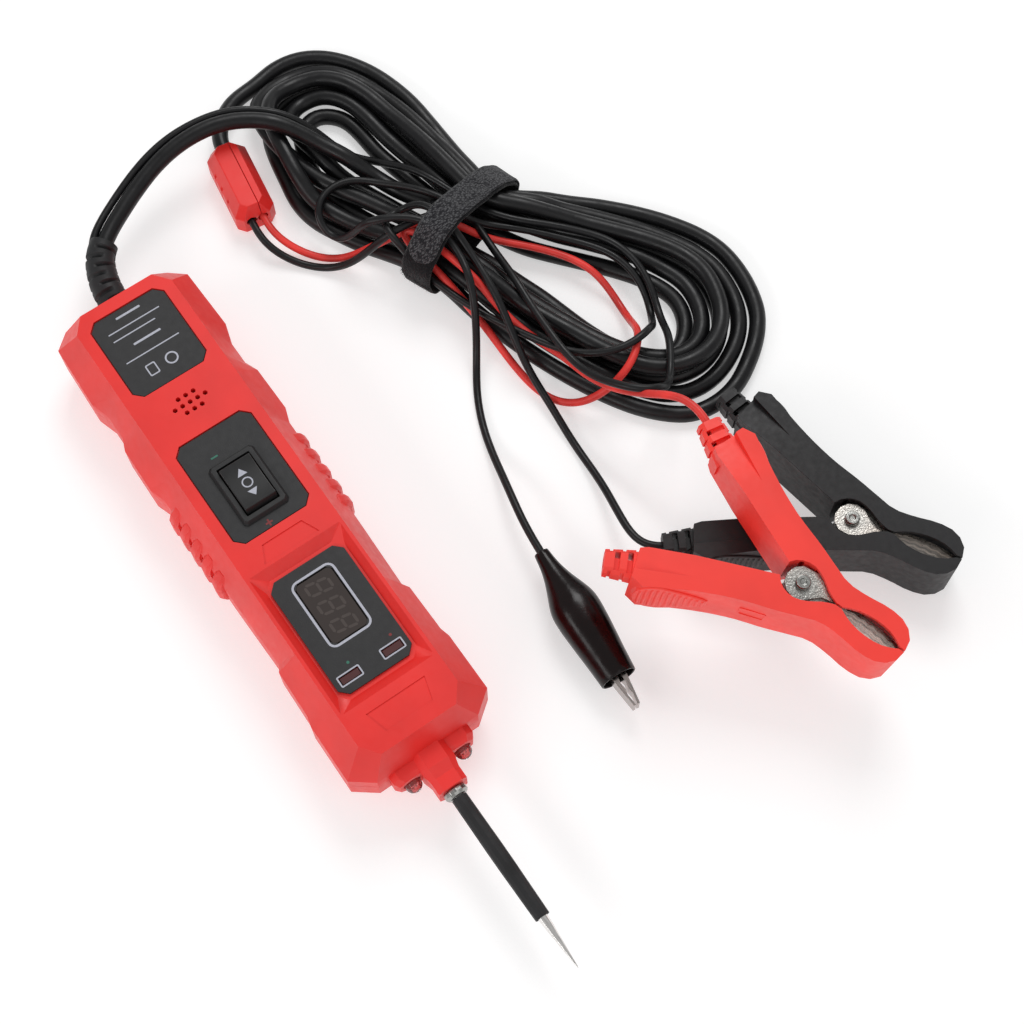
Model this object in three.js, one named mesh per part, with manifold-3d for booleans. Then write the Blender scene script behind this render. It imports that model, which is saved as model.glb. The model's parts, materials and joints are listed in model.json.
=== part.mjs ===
// Handheld circuit test light: a red housing with a needle probe, a rocker switch and a voltage
// display, a long two-core lead tied in a flat coil, an inline junction block, two battery clamps
// and an auxiliary alligator clip. Millimetres, +Z up. The origin is the centre of the housing's
// underside, the probe points along +X and everything lies on the plane z = 0.
import * as THREE from "three";
import { ConvexGeometry } from "three/addons/geometries/ConvexGeometry.js";
import { mergeVertices } from "three/addons/utils/BufferGeometryUtils.js";
import Module from "manifold-3d";

const wasm = await Module();
wasm.setup();

// ---------------------------------------------------------------- driving dimensions
const HEIGHT = 30; // housing, underside to face
const WALL_LOW = 8; // where the lower bevel meets the side wall
const WALL_HIGH = 20; // where the side wall meets the upper bevel
const SEAM_Z = 15; // parting plane of the two covers
const SEAM_GAP = 0.15;
const SHELL = 2.4; // wall thickness of the covers
const TOP_HALF_WIDTH = 16;
const PROBE_Z = 14; // axis of the probe, the headlights and the strain relief
const NOSE_X = 83; // front wall of the housing
const BOSS_X = 95; // front of the nose boss
const NEEDLE_TIP_X = 153.7;
const PLATE_RECESS = 1.1;
const POCKET_Z = 27.5; // floor of the display pocket
const LABEL_PLATE = { x: -61, halfX: 14.2, halfY: 12.2 };
const SWITCH_PLATE = { x: -9.7, halfX: 17.6, halfY: 12.3 };
const DISPLAY_PLATE = { x: 41, halfX: 19.3, halfY: 12 };
const DISPLAY_WINDOW = { x: 36.2, halfX: 10.4, halfY: 6.1 };
const POLARITY_LED = { x: 56.2, y: 6.9, halfX: 1, halfY: 2.9 };
const SWITCH = { x: -6.3, halfX: 9.5, halfY: 6.5 }; // body of the rocker switch
const ROCKER_PIVOT_Z = 29.3;
const ROCKER_REACH = 8; // pivot to the end face of the button
const SPEAKER_X = -37.8;
const LED_SIDE = 8.2; // headlight offset from the probe axis
const LED_R = 2.5; // headlight lens
const SCREW_X = 70;
const SCREW_Y = 14;

const CABLE_R = 2.4;
const WIRE_R = 1;
const WIRE_BORE_R = 1.75; // the hole that each wire enters
const CORE_Y = 1.9; // each core's offset from the junction block's centre line
const CABLE_CLEARANCE = 0.6; // air kept between cables that cross
const STRAP_THICK = 1.5;
const STRAP_WIDTH = 10.5;
const COIL = { x: -51, y: 102, yaw: 20 }; // centre of the strap and direction of the coil
const BLOCK = { x: -104, y: 54.4, yaw: -8.8, length: 27, width: 13, height: 13 };

const CLAMP_THICK = 18;
const JAW_LENGTH = 32.6; // rivet to jaw tip
const HANDLE_ANGLE = 28.5; // each handle and its cable boot, against the centreline
const BLACK_CLAMP = { x: 95.9, y: 137.1, z: 9.2, yaw: 32.5, pitch: 0 };
const RED_CLAMP = { x: 106.3, y: 107.3, z: 28.3, yaw: 19, pitch: 4 };
const CLIP = { x: 50.8, y: 60.4, z: 8, yaw: -5 };

const RED = 0xe8332f;
const CLAMP_RED = 0xf04a40;
const BLACK = 0x232325;
const CABLE_BLACK = 0x1d1d1f;
const STEEL = 0xb9b9b6;

// ---------------------------------------------------------------- geometry helpers
const { PI, cos, sin, sqrt, max, min, abs, floor } = Math;
const rad = THREE.MathUtils.degToRad;
const vec = (x, y, z = 0) => new THREE.Vector3(x, y, z);

// A three.js geometry as a manifold-3d solid.
function solid(geometry) {
  const g = geometry.clone();
  g.deleteAttribute("normal");
  g.deleteAttribute("uv");
  const merged = mergeVertices(g, 1e-4);
  return new wasm.Manifold(
    new wasm.Mesh({
      numProp: 3,
      vertProperties: new Float32Array(merged.attributes.position.array),
      triVerts: new Uint32Array(merged.index.array),
    }),
  );
}

// A manifold-3d solid as a flat-shaded three.js geometry.
function surface(body) {
  const m = body.getMesh();
  const positions = new Float32Array(m.numVert * 3);
  for (let i = 0; i < m.numVert; i++)
    positions.set(m.vertProperties.subarray(i * m.numProp, i * m.numProp + 3), i * 3);
  const g = new THREE.BufferGeometry();
  g.setAttribute("position", new THREE.BufferAttribute(positions, 3));
  g.setIndex(new THREE.BufferAttribute(new Uint32Array(m.triVerts), 1));
  const flat = g.toNonIndexed();
  flat.computeVertexNormals();
  return flat;
}

const join = (first, ...rest) => rest.reduce((a, b) => a.add(b), first);
const cut = (first, ...rest) => rest.reduce((a, b) => a.subtract(b), first);

// A box between two corners.
function block(x0, x1, y0, y1, z0, z1) {
  const g = new THREE.BoxGeometry(x1 - x0, y1 - y0, z1 - z0);
  return solid(g.translate((x0 + x1) / 2, (y0 + y1) / 2, (z0 + z1) / 2));
}

// A flat outline, [x, y] points counter-clockwise, extruded from z0 to z1.
function prism(points, z0, z1) {
  const shape = new THREE.Shape(points.map(([x, y]) => new THREE.Vector2(x, y)));
  const g = new THREE.ExtrudeGeometry(shape, { depth: z1 - z0, bevelEnabled: false });
  return solid(g.translate(0, 0, z0));
}

// An outline in the X-Z plane, extruded along Y from -half to +half.
function sideProfile(points, half) {
  const shape = new THREE.Shape(points.map(([x, z]) => new THREE.Vector2(x, z)));
  const g = new THREE.ExtrudeGeometry(shape, { depth: 2 * half, bevelEnabled: false });
  return solid(g.translate(0, 0, -half).rotateX(PI / 2));
}

// A [radius, height] profile turned about the Z axis; it starts and ends on the axis.
function turned(profile, sides) {
  const points = profile.map(([r, z]) => new THREE.Vector2(r, z));
  return new THREE.LatheGeometry(points, sides);
}

// The same, lying along +X, at (x, y, z).
function turnedX(profile, sides, x = 0, y = 0, z = 0) {
  return solid(turned(profile, sides).rotateZ(-PI / 2).translate(x, y, z));
}

// The same, standing along +Z.
function turnedZ(profile, sides, x = 0, y = 0, z = 0) {
  return solid(turned(profile, sides).rotateX(PI / 2).translate(x, y, z));
}

const rod = (r, length) => [[0, 0], [r, 0], [r, length], [0, length]];

// A rectangle with cut corners, counter-clockwise.
function chamfered(cx, cy, halfX, halfY, c) {
  return [
    [cx - halfX + c, cy - halfY], [cx + halfX - c, cy - halfY],
    [cx + halfX, cy - halfY + c], [cx + halfX, cy + halfY - c],
    [cx + halfX - c, cy + halfY], [cx - halfX + c, cy + halfY],
    [cx - halfX, cy + halfY - c], [cx - halfX, cy - halfY + c],
  ];
}

// A closed solid through rings of equal point count, from the lowest ring to the highest.
function loft(rings) {
  const n = rings[0].length;
  const positions = rings.flat().flatMap((p) => [p.x, p.y, p.z]);
  const index = [];
  for (let k = 0; k + 1 < rings.length; k++)
    for (let i = 0; i < n; i++) {
      const j = (i + 1) % n;
      const a = k * n + i;
      const b = k * n + j;
      index.push(a, b, b + n, a, b + n, a + n);
    }
  const caps = THREE.ShapeUtils.triangulateShape(rings[0].map((p) => new THREE.Vector2(p.x, p.y)), []);
  const top = (rings.length - 1) * n;
  const lid = THREE.ShapeUtils.triangulateShape(rings.at(-1).map((p) => new THREE.Vector2(p.x, p.y)), []);
  caps.forEach(([a, b, c]) => index.push(a, c, b));
  lid.forEach(([a, b, c]) => index.push(top + a, top + b, top + c));
  const g = new THREE.BufferGeometry();
  g.setAttribute("position", new THREE.Float32BufferAttribute(positions, 3));
  g.setIndex(index);
  return solid(g);
}

// A round cable of radius r along points, in pieces about `step` long.
function tube(points, r, step, sides) {
  const path = new THREE.CatmullRomCurve3(points, false, "centripetal");
  path.arcLengthDivisions = points.length * 4;
  const ring = new THREE.Shape();
  for (let i = 0; i < sides; i++) {
    const a = (2 * PI * i) / sides;
    if (i) ring.lineTo(r * cos(a), r * sin(a));
    else ring.moveTo(r, 0);
  }
  const steps = max(2, Math.round(path.getLength() / step));
  return new THREE.ExtrudeGeometry(ring, { extrudePath: path, steps, bevelEnabled: false });
}

const model = new THREE.Group();

function addMesh(parent, name, geometry, color, roughness = 0.45, metalness = 0) {
  const material = new THREE.MeshStandardMaterial({ color, roughness, metalness });
  const mesh = new THREE.Mesh(geometry, material);
  mesh.name = name;
  parent.add(mesh);
  return mesh;
}

const addSolid = (parent, name, body, ...look) => addMesh(parent, name, surface(body), ...look);

// ---------------------------------------------------------------- housing covers
// Half of the outline from the rear to the front: x and half-width of the side wall, then x and
// half-width of the face above it.
function housingStations() {
  return [
    [-83, 17.5, -79.5, 12],
    [-79, 22.3, -74.5, TOP_HALF_WIDTH],
    [-58.3, 22.9, -61, TOP_HALF_WIDTH],
    [-52, 20.9, -52, TOP_HALF_WIDTH],
    [-44.2, 20.9, -45, TOP_HALF_WIDTH],
    [-40, 22.6, -39, TOP_HALF_WIDTH],
    [-25.1, 22.8, -26, TOP_HALF_WIDTH],
    [-20.5, 21.2, -21, TOP_HALF_WIDTH],
    [17, 20.9, 17, TOP_HALF_WIDTH],
    [39.7, 20.4, 38, TOP_HALF_WIDTH],
    [41.6, 21.7, 43, TOP_HALF_WIDTH],
    [56.7, 22, 55, TOP_HALF_WIDTH],
    [59.7, 22.8, 61, TOP_HALF_WIDTH],
    [78.1, 22.9, 74.3, TOP_HALF_WIDTH],
    [NOSE_X, 16.5, 79.5, 12],
  ];
}

// The five finger ribs on each side wall, round-ended and blended into the slopes above and below.
function gripRibs() {
  const ribs = [];
  const pitch = 5.8;
  const half = 2.1;
  const root = 18.6; // inside the wall
  const levels = [[5, 19.4], [8, 22.4], [10, 23], [17.5, 23], [20.5, 22], [22.8, 19.8]];
  for (let k = 0; k < 5; k++) {
    const x = -14.3 + k * pitch;
    const tab = (y) => [[x - half, root], [x + half, root], [x + half, max(root + 0.1, y - 1)],
      [x + half - 1, y], [x - half + 1, y], [x - half, max(root + 0.1, y - 1)]];
    const rib = loft(levels.map(([z, y]) => tab(y).map(([px, py]) => vec(px, py, z))));
    ribs.push(rib, rib.mirror([0, 1, 0]));
  }
  return ribs;
}

function outlineRing(pairs, z) {
  const right = pairs.map(([x, y]) => vec(x, -y, z));
  const left = pairs.map(([x, y]) => vec(x, y, z)).reverse();
  return [...right, ...left];
}

function housingBody() {
  const stations = housingStations();
  const wall = stations.map(([x, y]) => [x, y]);
  const face = stations.map(([, , x, y]) => [x, y]);
  const base = stations.map(([x, y]) => [x * 0.965, y - 4.5]);
  return loft([outlineRing(base, 0), outlineRing(wall, WALL_LOW), outlineRing(wall, WALL_HIGH),
    outlineRing(face, HEIGHT)]);
}

// The hollow inside the covers: a plain box with bevelled edges.
function housingCavity() {
  const ring = (x, y, z) => outlineRing([[-x, y - 4], [-x + 4, y], [x - 4, y], [x, y - 4]], z);
  const length = NOSE_X - SHELL - 0.5;
  return loft([ring(length - 3, 16, SHELL), ring(length, 18.2, WALL_LOW), ring(length, 18.2, WALL_HIGH - 1),
    ring(length - 5, 13, POCKET_Z - SHELL)]);
}

// The nose: a stepped boss for the probe, and a low hood that holds a headlight on each side of it.
function nose() {
  const outline = chamfered(0, PROBE_Z, 5.2, 7, 2);
  const tipOutline = chamfered(0, PROBE_Z, 4.5, 5.2, 1.6);
  const ring = (points, x) => points.map(([y, z]) => vec(y, z, x));
  const hoodOutline = chamfered(0, PROBE_Z, 13, 5.2, 2);
  const hoodFace = chamfered(0, PROBE_Z, 11.8, 4.4, 1.8);
  const boss = loft([ring(outline, 78), ring(outline, 88), ring(tipOutline, 91), ring(tipOutline, BOSS_X)]);
  const hood = loft([ring(hoodOutline, 78), ring(hoodOutline, 85.4), ring(hoodFace, 87)]);
  // (y, z, x) coordinates turned into (x, y, z)
  const turn = new THREE.Matrix4().makeBasis(vec(0, 1, 0), vec(0, 0, 1), vec(1, 0, 0));
  return join(boss, hood).transform(turn.elements);
}

function speakerHoles() {
  const pitch = 2.5;
  const holes = [];
  for (let row = -1; row <= 1; row++)
    for (let k = -2; k <= 2; k++)
      if (row === 0 || abs(k) < 2)
        holes.push(turnedZ(rod(0.8, 8), 6, SPEAKER_X + row * pitch, k * pitch, HEIGHT - 7));
  return holes;
}

// The display pocket: a flat floor with cut corners, and sloped walls that meet in sharp corners.
function displayPocket() {
  const { x: centre, halfX, halfY } = DISPLAY_PLATE;
  const floorRing = chamfered(centre, 0, halfX + 1.3, halfY + 0.8, 2.6).map(([x, y]) => vec(x, y, POCKET_Z));
  const mouthRing = chamfered(centre, 0, halfX + 4.3, halfY + 3, 0.5).map(([x, y]) => vec(x, y, HEIGHT + 0.01));
  return loft([floorRing, mouthRing]);
}

const plateRecess = ({ x, halfX, halfY }) =>
  prism(chamfered(x, 0, halfX + 0.3, halfY + 0.3, 2.6), HEIGHT - PLATE_RECESS, HEIGHT + 1);

// A window through the face for something that fits the box { x, y, halfX, halfY }.
const faceWindow = ({ x, y = 0, halfX, halfY }, grow) =>
  block(x - halfX - grow, x + halfX + grow, y - halfY - grow, y + halfY + grow, 20, HEIGHT + 5);

const opposite = (place) => ({ ...place, y: -place.y });

function trapezoidRecess(x, depthX, halfRear, halfFront) {
  const points = [[x, -halfRear], [x + depthX, -halfFront], [x + depthX, halfFront], [x, halfRear]];
  return prism(points, HEIGHT - 0.4, HEIGHT + 1);
}

const screwPlaces = [[-SCREW_X, -SCREW_Y], [-SCREW_X, SCREW_Y], [SCREW_X, -SCREW_Y], [SCREW_X, SCREW_Y]];

function buildCovers() {
  const shell = join(housingBody().subtract(housingCavity()), nose(), ...gripRibs());
  const bores = [
    turnedX(rod(2.4, 30), 12, 70, 0, PROBE_Z),
    turnedX(rod(2.85, 20), 12, 72, LED_SIDE, PROBE_Z),
    turnedX(rod(2.85, 20), 12, 72, -LED_SIDE, PROBE_Z),
    turnedX(rod(4.5, 10), 12, -86, 0, PROBE_Z),
  ];
  const drilled = cut(shell, ...bores);
  const upperHalf = block(-100, 100, -30, 30, SEAM_Z + SEAM_GAP, 40);
  const lowerHalf = block(-100, 100, -30, 30, -1, SEAM_Z);
  const pillars = screwPlaces.map(([x, y]) => turnedZ(rod(3.2, 11), 10, x, y, SEAM_Z + SEAM_GAP));
  const pilots = screwPlaces.map(([x, y]) => turnedZ(rod(1.6, 7), 8, x, y, SEAM_Z - 0.5));
  const bosses = screwPlaces.map(([x, y]) => turnedZ(rod(4.3, SEAM_Z - 2), 10, x, y, 2));
  const sinks = screwPlaces.map(([x, y]) => turnedZ([[0, 0], [3, 0], [3, 8], [1.7, 8], [1.7, 20], [0, 20]],
    10, x, y, -1));

  const front = cut(
    join(drilled.intersect(upperHalf), ...pillars),
    plateRecess(LABEL_PLATE),
    plateRecess(SWITCH_PLATE),
    displayPocket(),
    trapezoidRecess(11, 5.5, 6.5, 9),
    trapezoidRecess(68, 7, 9.5, 7.5),
    faceWindow(SWITCH, 0.4),
    faceWindow(DISPLAY_WINDOW, 0.9),
    faceWindow(POLARITY_LED, 0.25),
    faceWindow(opposite(POLARITY_LED), 0.25),
    ...speakerHoles(),
    ...pilots,
  );
  const rear = cut(join(drilled.intersect(lowerHalf), ...bosses), ...sinks);
  addSolid(model, "front_cover", front, RED, 0.42);
  addSolid(model, "rear_cover", rear, RED, 0.42);

  screwPlaces.forEach(([x, y], i) => {
    const head = [[0, 0], [2.6, 0], [2.6, 2], [1.3, 2.2], [1.3, 14], [0, 14.6]];
    const slot = block(x - 1.8, x + 1.8, y - 0.4, y + 0.4, 3, 5.6);
    const slotAcross = block(x - 0.4, x + 0.4, y - 1.8, y + 1.8, 3, 5.6);
    const screw = cut(turnedZ(head, 10, x, y, 4.6), slot, slotAcross);
    addSolid(model, "cover_screw_" + (i + 1), screw, STEEL, 0.3, 1);
  });
}

// ---------------------------------------------------------------- face plates, switch, display
function buildFace() {
  const plateZ = HEIGHT - PLATE_RECESS + 0.1;
  const plate = ({ x, halfX, halfY }, z, thick) => prism(chamfered(x, 0, halfX, halfY, 2.4), z, z + thick);
  const plateThick = 0.7;
  addSolid(model, "label_plate", plate(LABEL_PLATE, plateZ, plateThick), BLACK, 0.5);
  const switchPlate = plate(SWITCH_PLATE, plateZ, plateThick).subtract(faceWindow(SWITCH, 0.3));
  addSolid(model, "switch_plate", switchPlate, BLACK, 0.5);

  const { x: windowX, halfX, halfY } = DISPLAY_WINDOW;
  const opening = prism(chamfered(windowX, 0, halfX, halfY, 1.6), 20, 40);
  const pierced = cut(plate(DISPLAY_PLATE, POCKET_Z + 0.1, 0.8), opening, faceWindow(POLARITY_LED, 0.25),
    faceWindow(opposite(POLARITY_LED), 0.25));
  addSolid(model, "display_plate", pierced, BLACK, 0.5);

  const lens = prism(chamfered(windowX, 0, halfX - 0.3, halfY - 0.3, 1.5), POCKET_Z - 0.2, POCKET_Z + 0.75);
  addSolid(model, "display_window", lens, 0x463e3c, 0.1);
  const module = block(windowX - 11, windowX + 11, -6.2, 6.2, 19, POCKET_Z - 0.4);
  addSolid(model, "display_module", module, 0x2b2829, 0.4);
  const led = ({ x, y, halfX: hx, halfY: hy }) => block(x - hx, x + hx, y - hy, y + hy, 20.5, POCKET_Z + 0.6);
  addSolid(model, "positive_led", led(POLARITY_LED), 0x9a2a26, 0.2);
  addSolid(model, "negative_led", led(opposite(POLARITY_LED)), 0x9a2a26, 0.2);
}

// The three-position rocker switch: a bezel that snaps into the face and a tilting button.
function buildSwitch() {
  const bezelBase = HEIGHT - PLATE_RECESS + 0.95;
  const reach = ROCKER_REACH;
  const { x: centre, halfX, halfY } = SWITCH;
  const buttonHalfY = 5;
  const flangeThick = 1.5;
  const clearance = 0.35;
  const flange = loft([
    chamfered(centre, 0, halfX + 1, halfY + 1, 1).map(([x, y]) => vec(x, y, bezelBase)),
    chamfered(centre, 0, halfX + 0.2, halfY + 0.2, 0.8).map(([x, y]) => vec(x, y, bezelBase + flangeThick)),
  ]);
  const body = block(centre - halfX, centre + halfX, -halfY, halfY, 16, bezelBase + 0.1);
  const well = block(centre - reach - clearance, centre + reach + clearance, -buttonHalfY - clearance,
    buttonHalfY + clearance, 19, 40);
  addSolid(model, "switch_bezel", flange.add(body).subtract(well), BLACK, 0.4);

  const profile = [];
  const topAngle = 29;
  const lowAngle = -20;
  for (let i = 0; i <= 4; i++) {
    const a = rad(lowAngle + ((topAngle - lowAngle) * i) / 4);
    profile.push([reach * cos(a), reach * sin(a)]);
  }
  const dish = 6;
  for (let i = 1; i < dish; i++) {
    const x = reach * cos(rad(topAngle)) * (1 - (2 * i) / dish);
    profile.push([x, reach * sin(rad(topAngle)) - 0.9 * (1 - (x / reach) ** 2)]);
  }
  for (let i = 4; i >= 0; i--) {
    const a = rad(lowAngle + ((topAngle - lowAngle) * i) / 4);
    profile.push([-reach * cos(a), reach * sin(a)]);
  }
  const button = addSolid(model, "rocker_button", sideProfile(profile, buttonHalfY), BLACK, 0.35);
  button.position.set(centre, 0, ROCKER_PIVOT_Z);
}

function buildInside() {
  const board = prism(chamfered(0, 0, 62, 15.5, 1.5), 12, 13.6);
  addSolid(model, "circuit_board", board, 0x1f6b3a, 0.5);
  addSolid(model, "buzzer", turnedZ(rod(6, 8.5), 16, SPEAKER_X, 0, 13.9), 0x1a1a1a, 0.5);
}

function buildHeadlights() {
  const barrel = 6;
  const dome = [[0, 0], [LED_R, 0]];
  const arcs = 4;
  for (let i = 0; i <= arcs; i++) {
    const a = (i / arcs) * (PI / 2);
    dome.push([i === arcs ? 0 : LED_R * cos(a), barrel + LED_R * sin(a)]);
  }
  const back = NOSE_X - 1.4;
  addSolid(model, "headlight_left", turnedX(dome, 12, back, LED_SIDE, PROBE_Z), 0xe8dada, 0.1);
  addSolid(model, "headlight_right", turnedX(dome, 12, back, -LED_SIDE, PROBE_Z), 0xe8dada, 0.1);
}

function buildProbe() {
  const sleeveEnd = 137;
  const collar = cut(turnedX([[0, 0], [2.1, 0], [2.1, 15.3], [3.5, 15.3], [3.5, 16.6], [2.9, 17.4], [0, 17.4]],
    12, BOSS_X - 15, 0, PROBE_Z), turnedX(rod(1.75, 30), 10, BOSS_X - 9, 0, PROBE_Z));
  addSolid(model, "probe_collar", collar, STEEL, 0.3, 1);

  const needleBack = BOSS_X - 7;
  const needle = [[0, 0], [1.5, 0], [1.5, sleeveEnd - needleBack], [1.35, sleeveEnd - needleBack + 3],
    [0.25, NEEDLE_TIP_X - needleBack - 1], [0, NEEDLE_TIP_X - needleBack]];
  addSolid(model, "probe_needle", turnedX(needle, 10, needleBack, 0, PROBE_Z), STEEL, 0.2, 1);

  const start = BOSS_X + 2.7;
  const length = sleeveEnd - start;
  const outer = [];
  const inner = [];
  const rings = 7;
  for (let i = 0; i <= rings; i++) {
    const t = i / rings;
    outer.push([2.35 - 0.15 * t + 0.18 * sin(PI * t) ** 2, t * length]);
    inner.push([1.75, (1 - t) * length]);
  }
  const bore = [inner[0], inner.at(-1)];
  addSolid(model, "probe_sleeve", turnedX([...outer, ...bore, outer[0]], 12, start, 0, PROBE_Z), BLACK, 0.55);
}

// ---------------------------------------------------------------- coil plan and draping
function coilPoint(u, v) {
  const a = rad(COIL.yaw);
  return [COIL.x + u * cos(a) - v * sin(a), COIL.y + u * sin(a) + v * cos(a)];
}

// Stations round one turn of the coil, in the coil's own (u, v) axes: the outermost lane, then
// the innermost. The turn starts at the left end, passes the strap along the top band, goes round
// the right end and comes back through the strap along the bottom band.
const LANES = [
  [-87, 5, -64, 8], [-84.5, 18, -60, 12], [-77, 26.5, -55, 13], [-63, 31.5, -48, 11.5],
  [-45, 31, -38, 8.5], [-28, 26, -25, 7], [-12, 20.5, -12, 5], [0, 17, 0, 4.5],
  [16, 26, 16, 7.5], [34, 35, 34, 13.5], [52, 41, 52, 19], [67, 42.5, 66, 19.5],
  [80, 38, 74, 14], [91, 29, 77, 7], [96.5, 15, 75, 0], [97.5, 2, 67, -4],
  [92, -10, 57, -5], [80, -16.5, 46, -5], [65, -19.5, 36, -4], [45, -20.5, 26, -3.5],
  [25, -19.5, 14, -3.5], [0, -17, 0, -4.5], [-14, -18.5, -14, -4], [-30, -22, -30, -4],
  [-45, -24, -44, -4], [-60, -18.5, -54, -2], [-74, -12, -60, 0], [-84, -5, -64, 3],
];
const STRAP_BOTTOM = 21; // index of the station where the bottom band meets the strap
// Which lane each turn runs in, 0 outermost to 1 innermost: the lowest layer is laid first, and
// the later turns lie in the grooves between its strands.
const TURN_LANES = [0, 0.5, 1, 0.75, 0.25, 0.5];

function turnPoints(turn) {
  const lane = TURN_LANES[turn];
  const next = TURN_LANES[min(turn + 1, TURN_LANES.length - 1)];
  const last = turn === TURN_LANES.length - 1;
  const stations = last ? LANES.slice(0, STRAP_BOTTOM + 1) : LANES;
  return stations.map(([u0, v0, u1, v1], i) => {
    const change = THREE.MathUtils.smoothstep(i, STRAP_BOTTOM + 1, LANES.length);
    const s = lane + (next - lane) * change;
    const sway = 0.3 * sin(i * 0.9 + turn * 2.1);
    const [x, y] = coilPoint(u0 + (u1 - u0) * s, v0 + (v1 - v0) * s + sway);
    return [x, y, 0];
  });
}

const laid = []; // samples of every cable already lying on the ground: x, y, z, radius
const CELL = 8;
const grid = new Map();
const cellKey = (x, y) => floor(x / CELL) * 4096 + floor(y / CELL);

function lay(points, r) {
  for (const p of points) {
    const item = [p.x, p.y, p.z, r];
    laid.push(item);
    const key = cellKey(p.x, p.y);
    if (!grid.has(key)) grid.set(key, []);
    grid.get(key).push(item);
  }
}

// The height that a cable of radius r needs at (x, y) to clear everything laid so far.
function clearHeight(x, y, z, r) {
  let need = z;
  for (let i = -1; i <= 1; i++)
    for (let j = -1; j <= 1; j++)
      for (const [lx, ly, lz, lr] of grid.get(cellKey(x + i * CELL, y + j * CELL)) ?? []) {
        const gap = r + lr + CABLE_CLEARANCE;
        const d2 = (x - lx) ** 2 + (y - ly) ** 2;
        if (d2 >= gap * gap) continue;
        const rise = sqrt(gap * gap - d2);
        if (need > lz - rise && need < lz + rise) need = lz + rise;
      }
  return need;
}

function underStrap(p) {
  const a = rad(COIL.yaw);
  const dx = p.x - COIL.x;
  const dy = p.y - COIL.y;
  return abs(dx * cos(a) + dy * sin(a)) < STRAP_WIDTH && abs(dy * cos(a) - dx * sin(a)) < 40;
}

// Lays one cable over everything below it. Control points are [x, y, lowest z]. The result is a
// list of points about `spacing` apart, a smooth envelope over every height the cable needs. The
// cable settles a stretch at a time, so that each turn also lies over the turns before it.
function drape(control, r, spacing, softness) {
  const plan = new THREE.CatmullRomCurve3(control.map(([x, y, z]) => vec(x, y, max(z, r))),
    false, "centripetal");
  plan.arcLengthDivisions = control.length * 12;
  const points = plan.getSpacedPoints(Math.round(plan.getLength() / spacing));
  const count = points.length;
  const strapFloor = r + STRAP_THICK + 0.5;
  const need = points.map((p) => (underStrap(p) ? max(p.z, strapFloor) : p.z));
  const reach = Math.round(softness / spacing);
  const stretch = Math.round(50 / spacing);
  const ahead = Math.round(100 / spacing);
  const ownLength = Math.round(28 / spacing); // nearer points of this cable are no obstacle

  const envelope = (i) => {
    const w = min(reach, i, count - 1 - i);
    let sum = 0;
    let weight = 0;
    for (let k = -w; k <= w; k++) {
      const from = max(0, i + k - w);
      const to = min(count, i + k + w + 1);
      const share = w + 1 - abs(k);
      sum += share * max(...need.slice(from, to));
      weight += share;
    }
    return sum / weight;
  };

  let settled = 0;
  for (let start = 0; start < count; start += stretch) {
    const end = min(count, start + stretch + ahead);
    for (let pass = 0, lifted = true; lifted && pass < 12; pass++) {
      lifted = false;
      for (let i = start; i < end; i++) {
        const p = points[i];
        p.z = envelope(i);
        const clear = clearHeight(p.x, p.y, p.z, r);
        if (clear > p.z + 0.01) {
          need[i] = clear;
          lifted = true;
        }
      }
    }
    const upTo = max(settled, min(start + stretch, count) - ownLength);
    lay(points.slice(settled, upTo), r);
    settled = upTo;
  }
  lay(points.slice(settled), r);
  return points;
}

// ---------------------------------------------------------------- lead, junction, wires, strap
function placeAt(pose, x, y, z) {
  const a = rad(pose.yaw);
  return [pose.x + x * cos(a) - y * sin(a), pose.y + x * sin(a) + y * cos(a), z];
}

// A point of a clamp, given in the clamp's own axes.
function clampPoint(pose, a, b, c) {
  const p = vec(a, b, c).applyAxisAngle(vec(0, 1, 0), rad(pose.pitch));
  p.applyAxisAngle(vec(0, 0, 1), rad(pose.yaw));
  return [p.x + pose.x, p.y + pose.y, p.z + pose.z];
}

const inCoil = (points) => points.map(([u, v, z = 0]) => [...coilPoint(u, v), z]);

const RELIEF = [[-79, 0, PROBE_Z], [-84, 0, PROBE_Z], [-93, 0.8, PROBE_Z + 0.6], [-102.5, 5.2, PROBE_Z + 2]];

function buildStrainRelief() {
  const path = RELIEF.map((p) => vec(...p));
  const curve = new THREE.CatmullRomCurve3(path);
  let relief = solid(tube(path, 4, 5, 8));
  const rings = 6;
  for (let i = 0; i < rings; i++) {
    const t = 0.3 + (0.66 * i) / (rings - 1);
    const r = 5 - 0.7 * (i / (rings - 1));
    const disc = new THREE.CylinderGeometry(r, r, 1.5, 8);
    const turn = new THREE.Quaternion().setFromUnitVectors(vec(0, 1, 0), curve.getTangentAt(t));
    const at = curve.getPointAt(t);
    disc.applyQuaternion(turn).translate(at.x, at.y, at.z);
    relief = relief.add(solid(disc));
  }
  const flange = turnedX(rod(5.6, 1.6), 12, -79.3, 0, PROBE_Z);
  const ahead = curve.getTangentAt(1).multiplyScalar(6);
  const behind = vec(-6, 0, 0);
  const bore = [path[0].clone().sub(behind), ...path, path.at(-1).clone().add(ahead)];
  addSolid(model, "strain_relief", relief.add(flange).subtract(solid(tube(bore, 3.4, 5, 6))), BLACK, 0.6);
}

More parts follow.
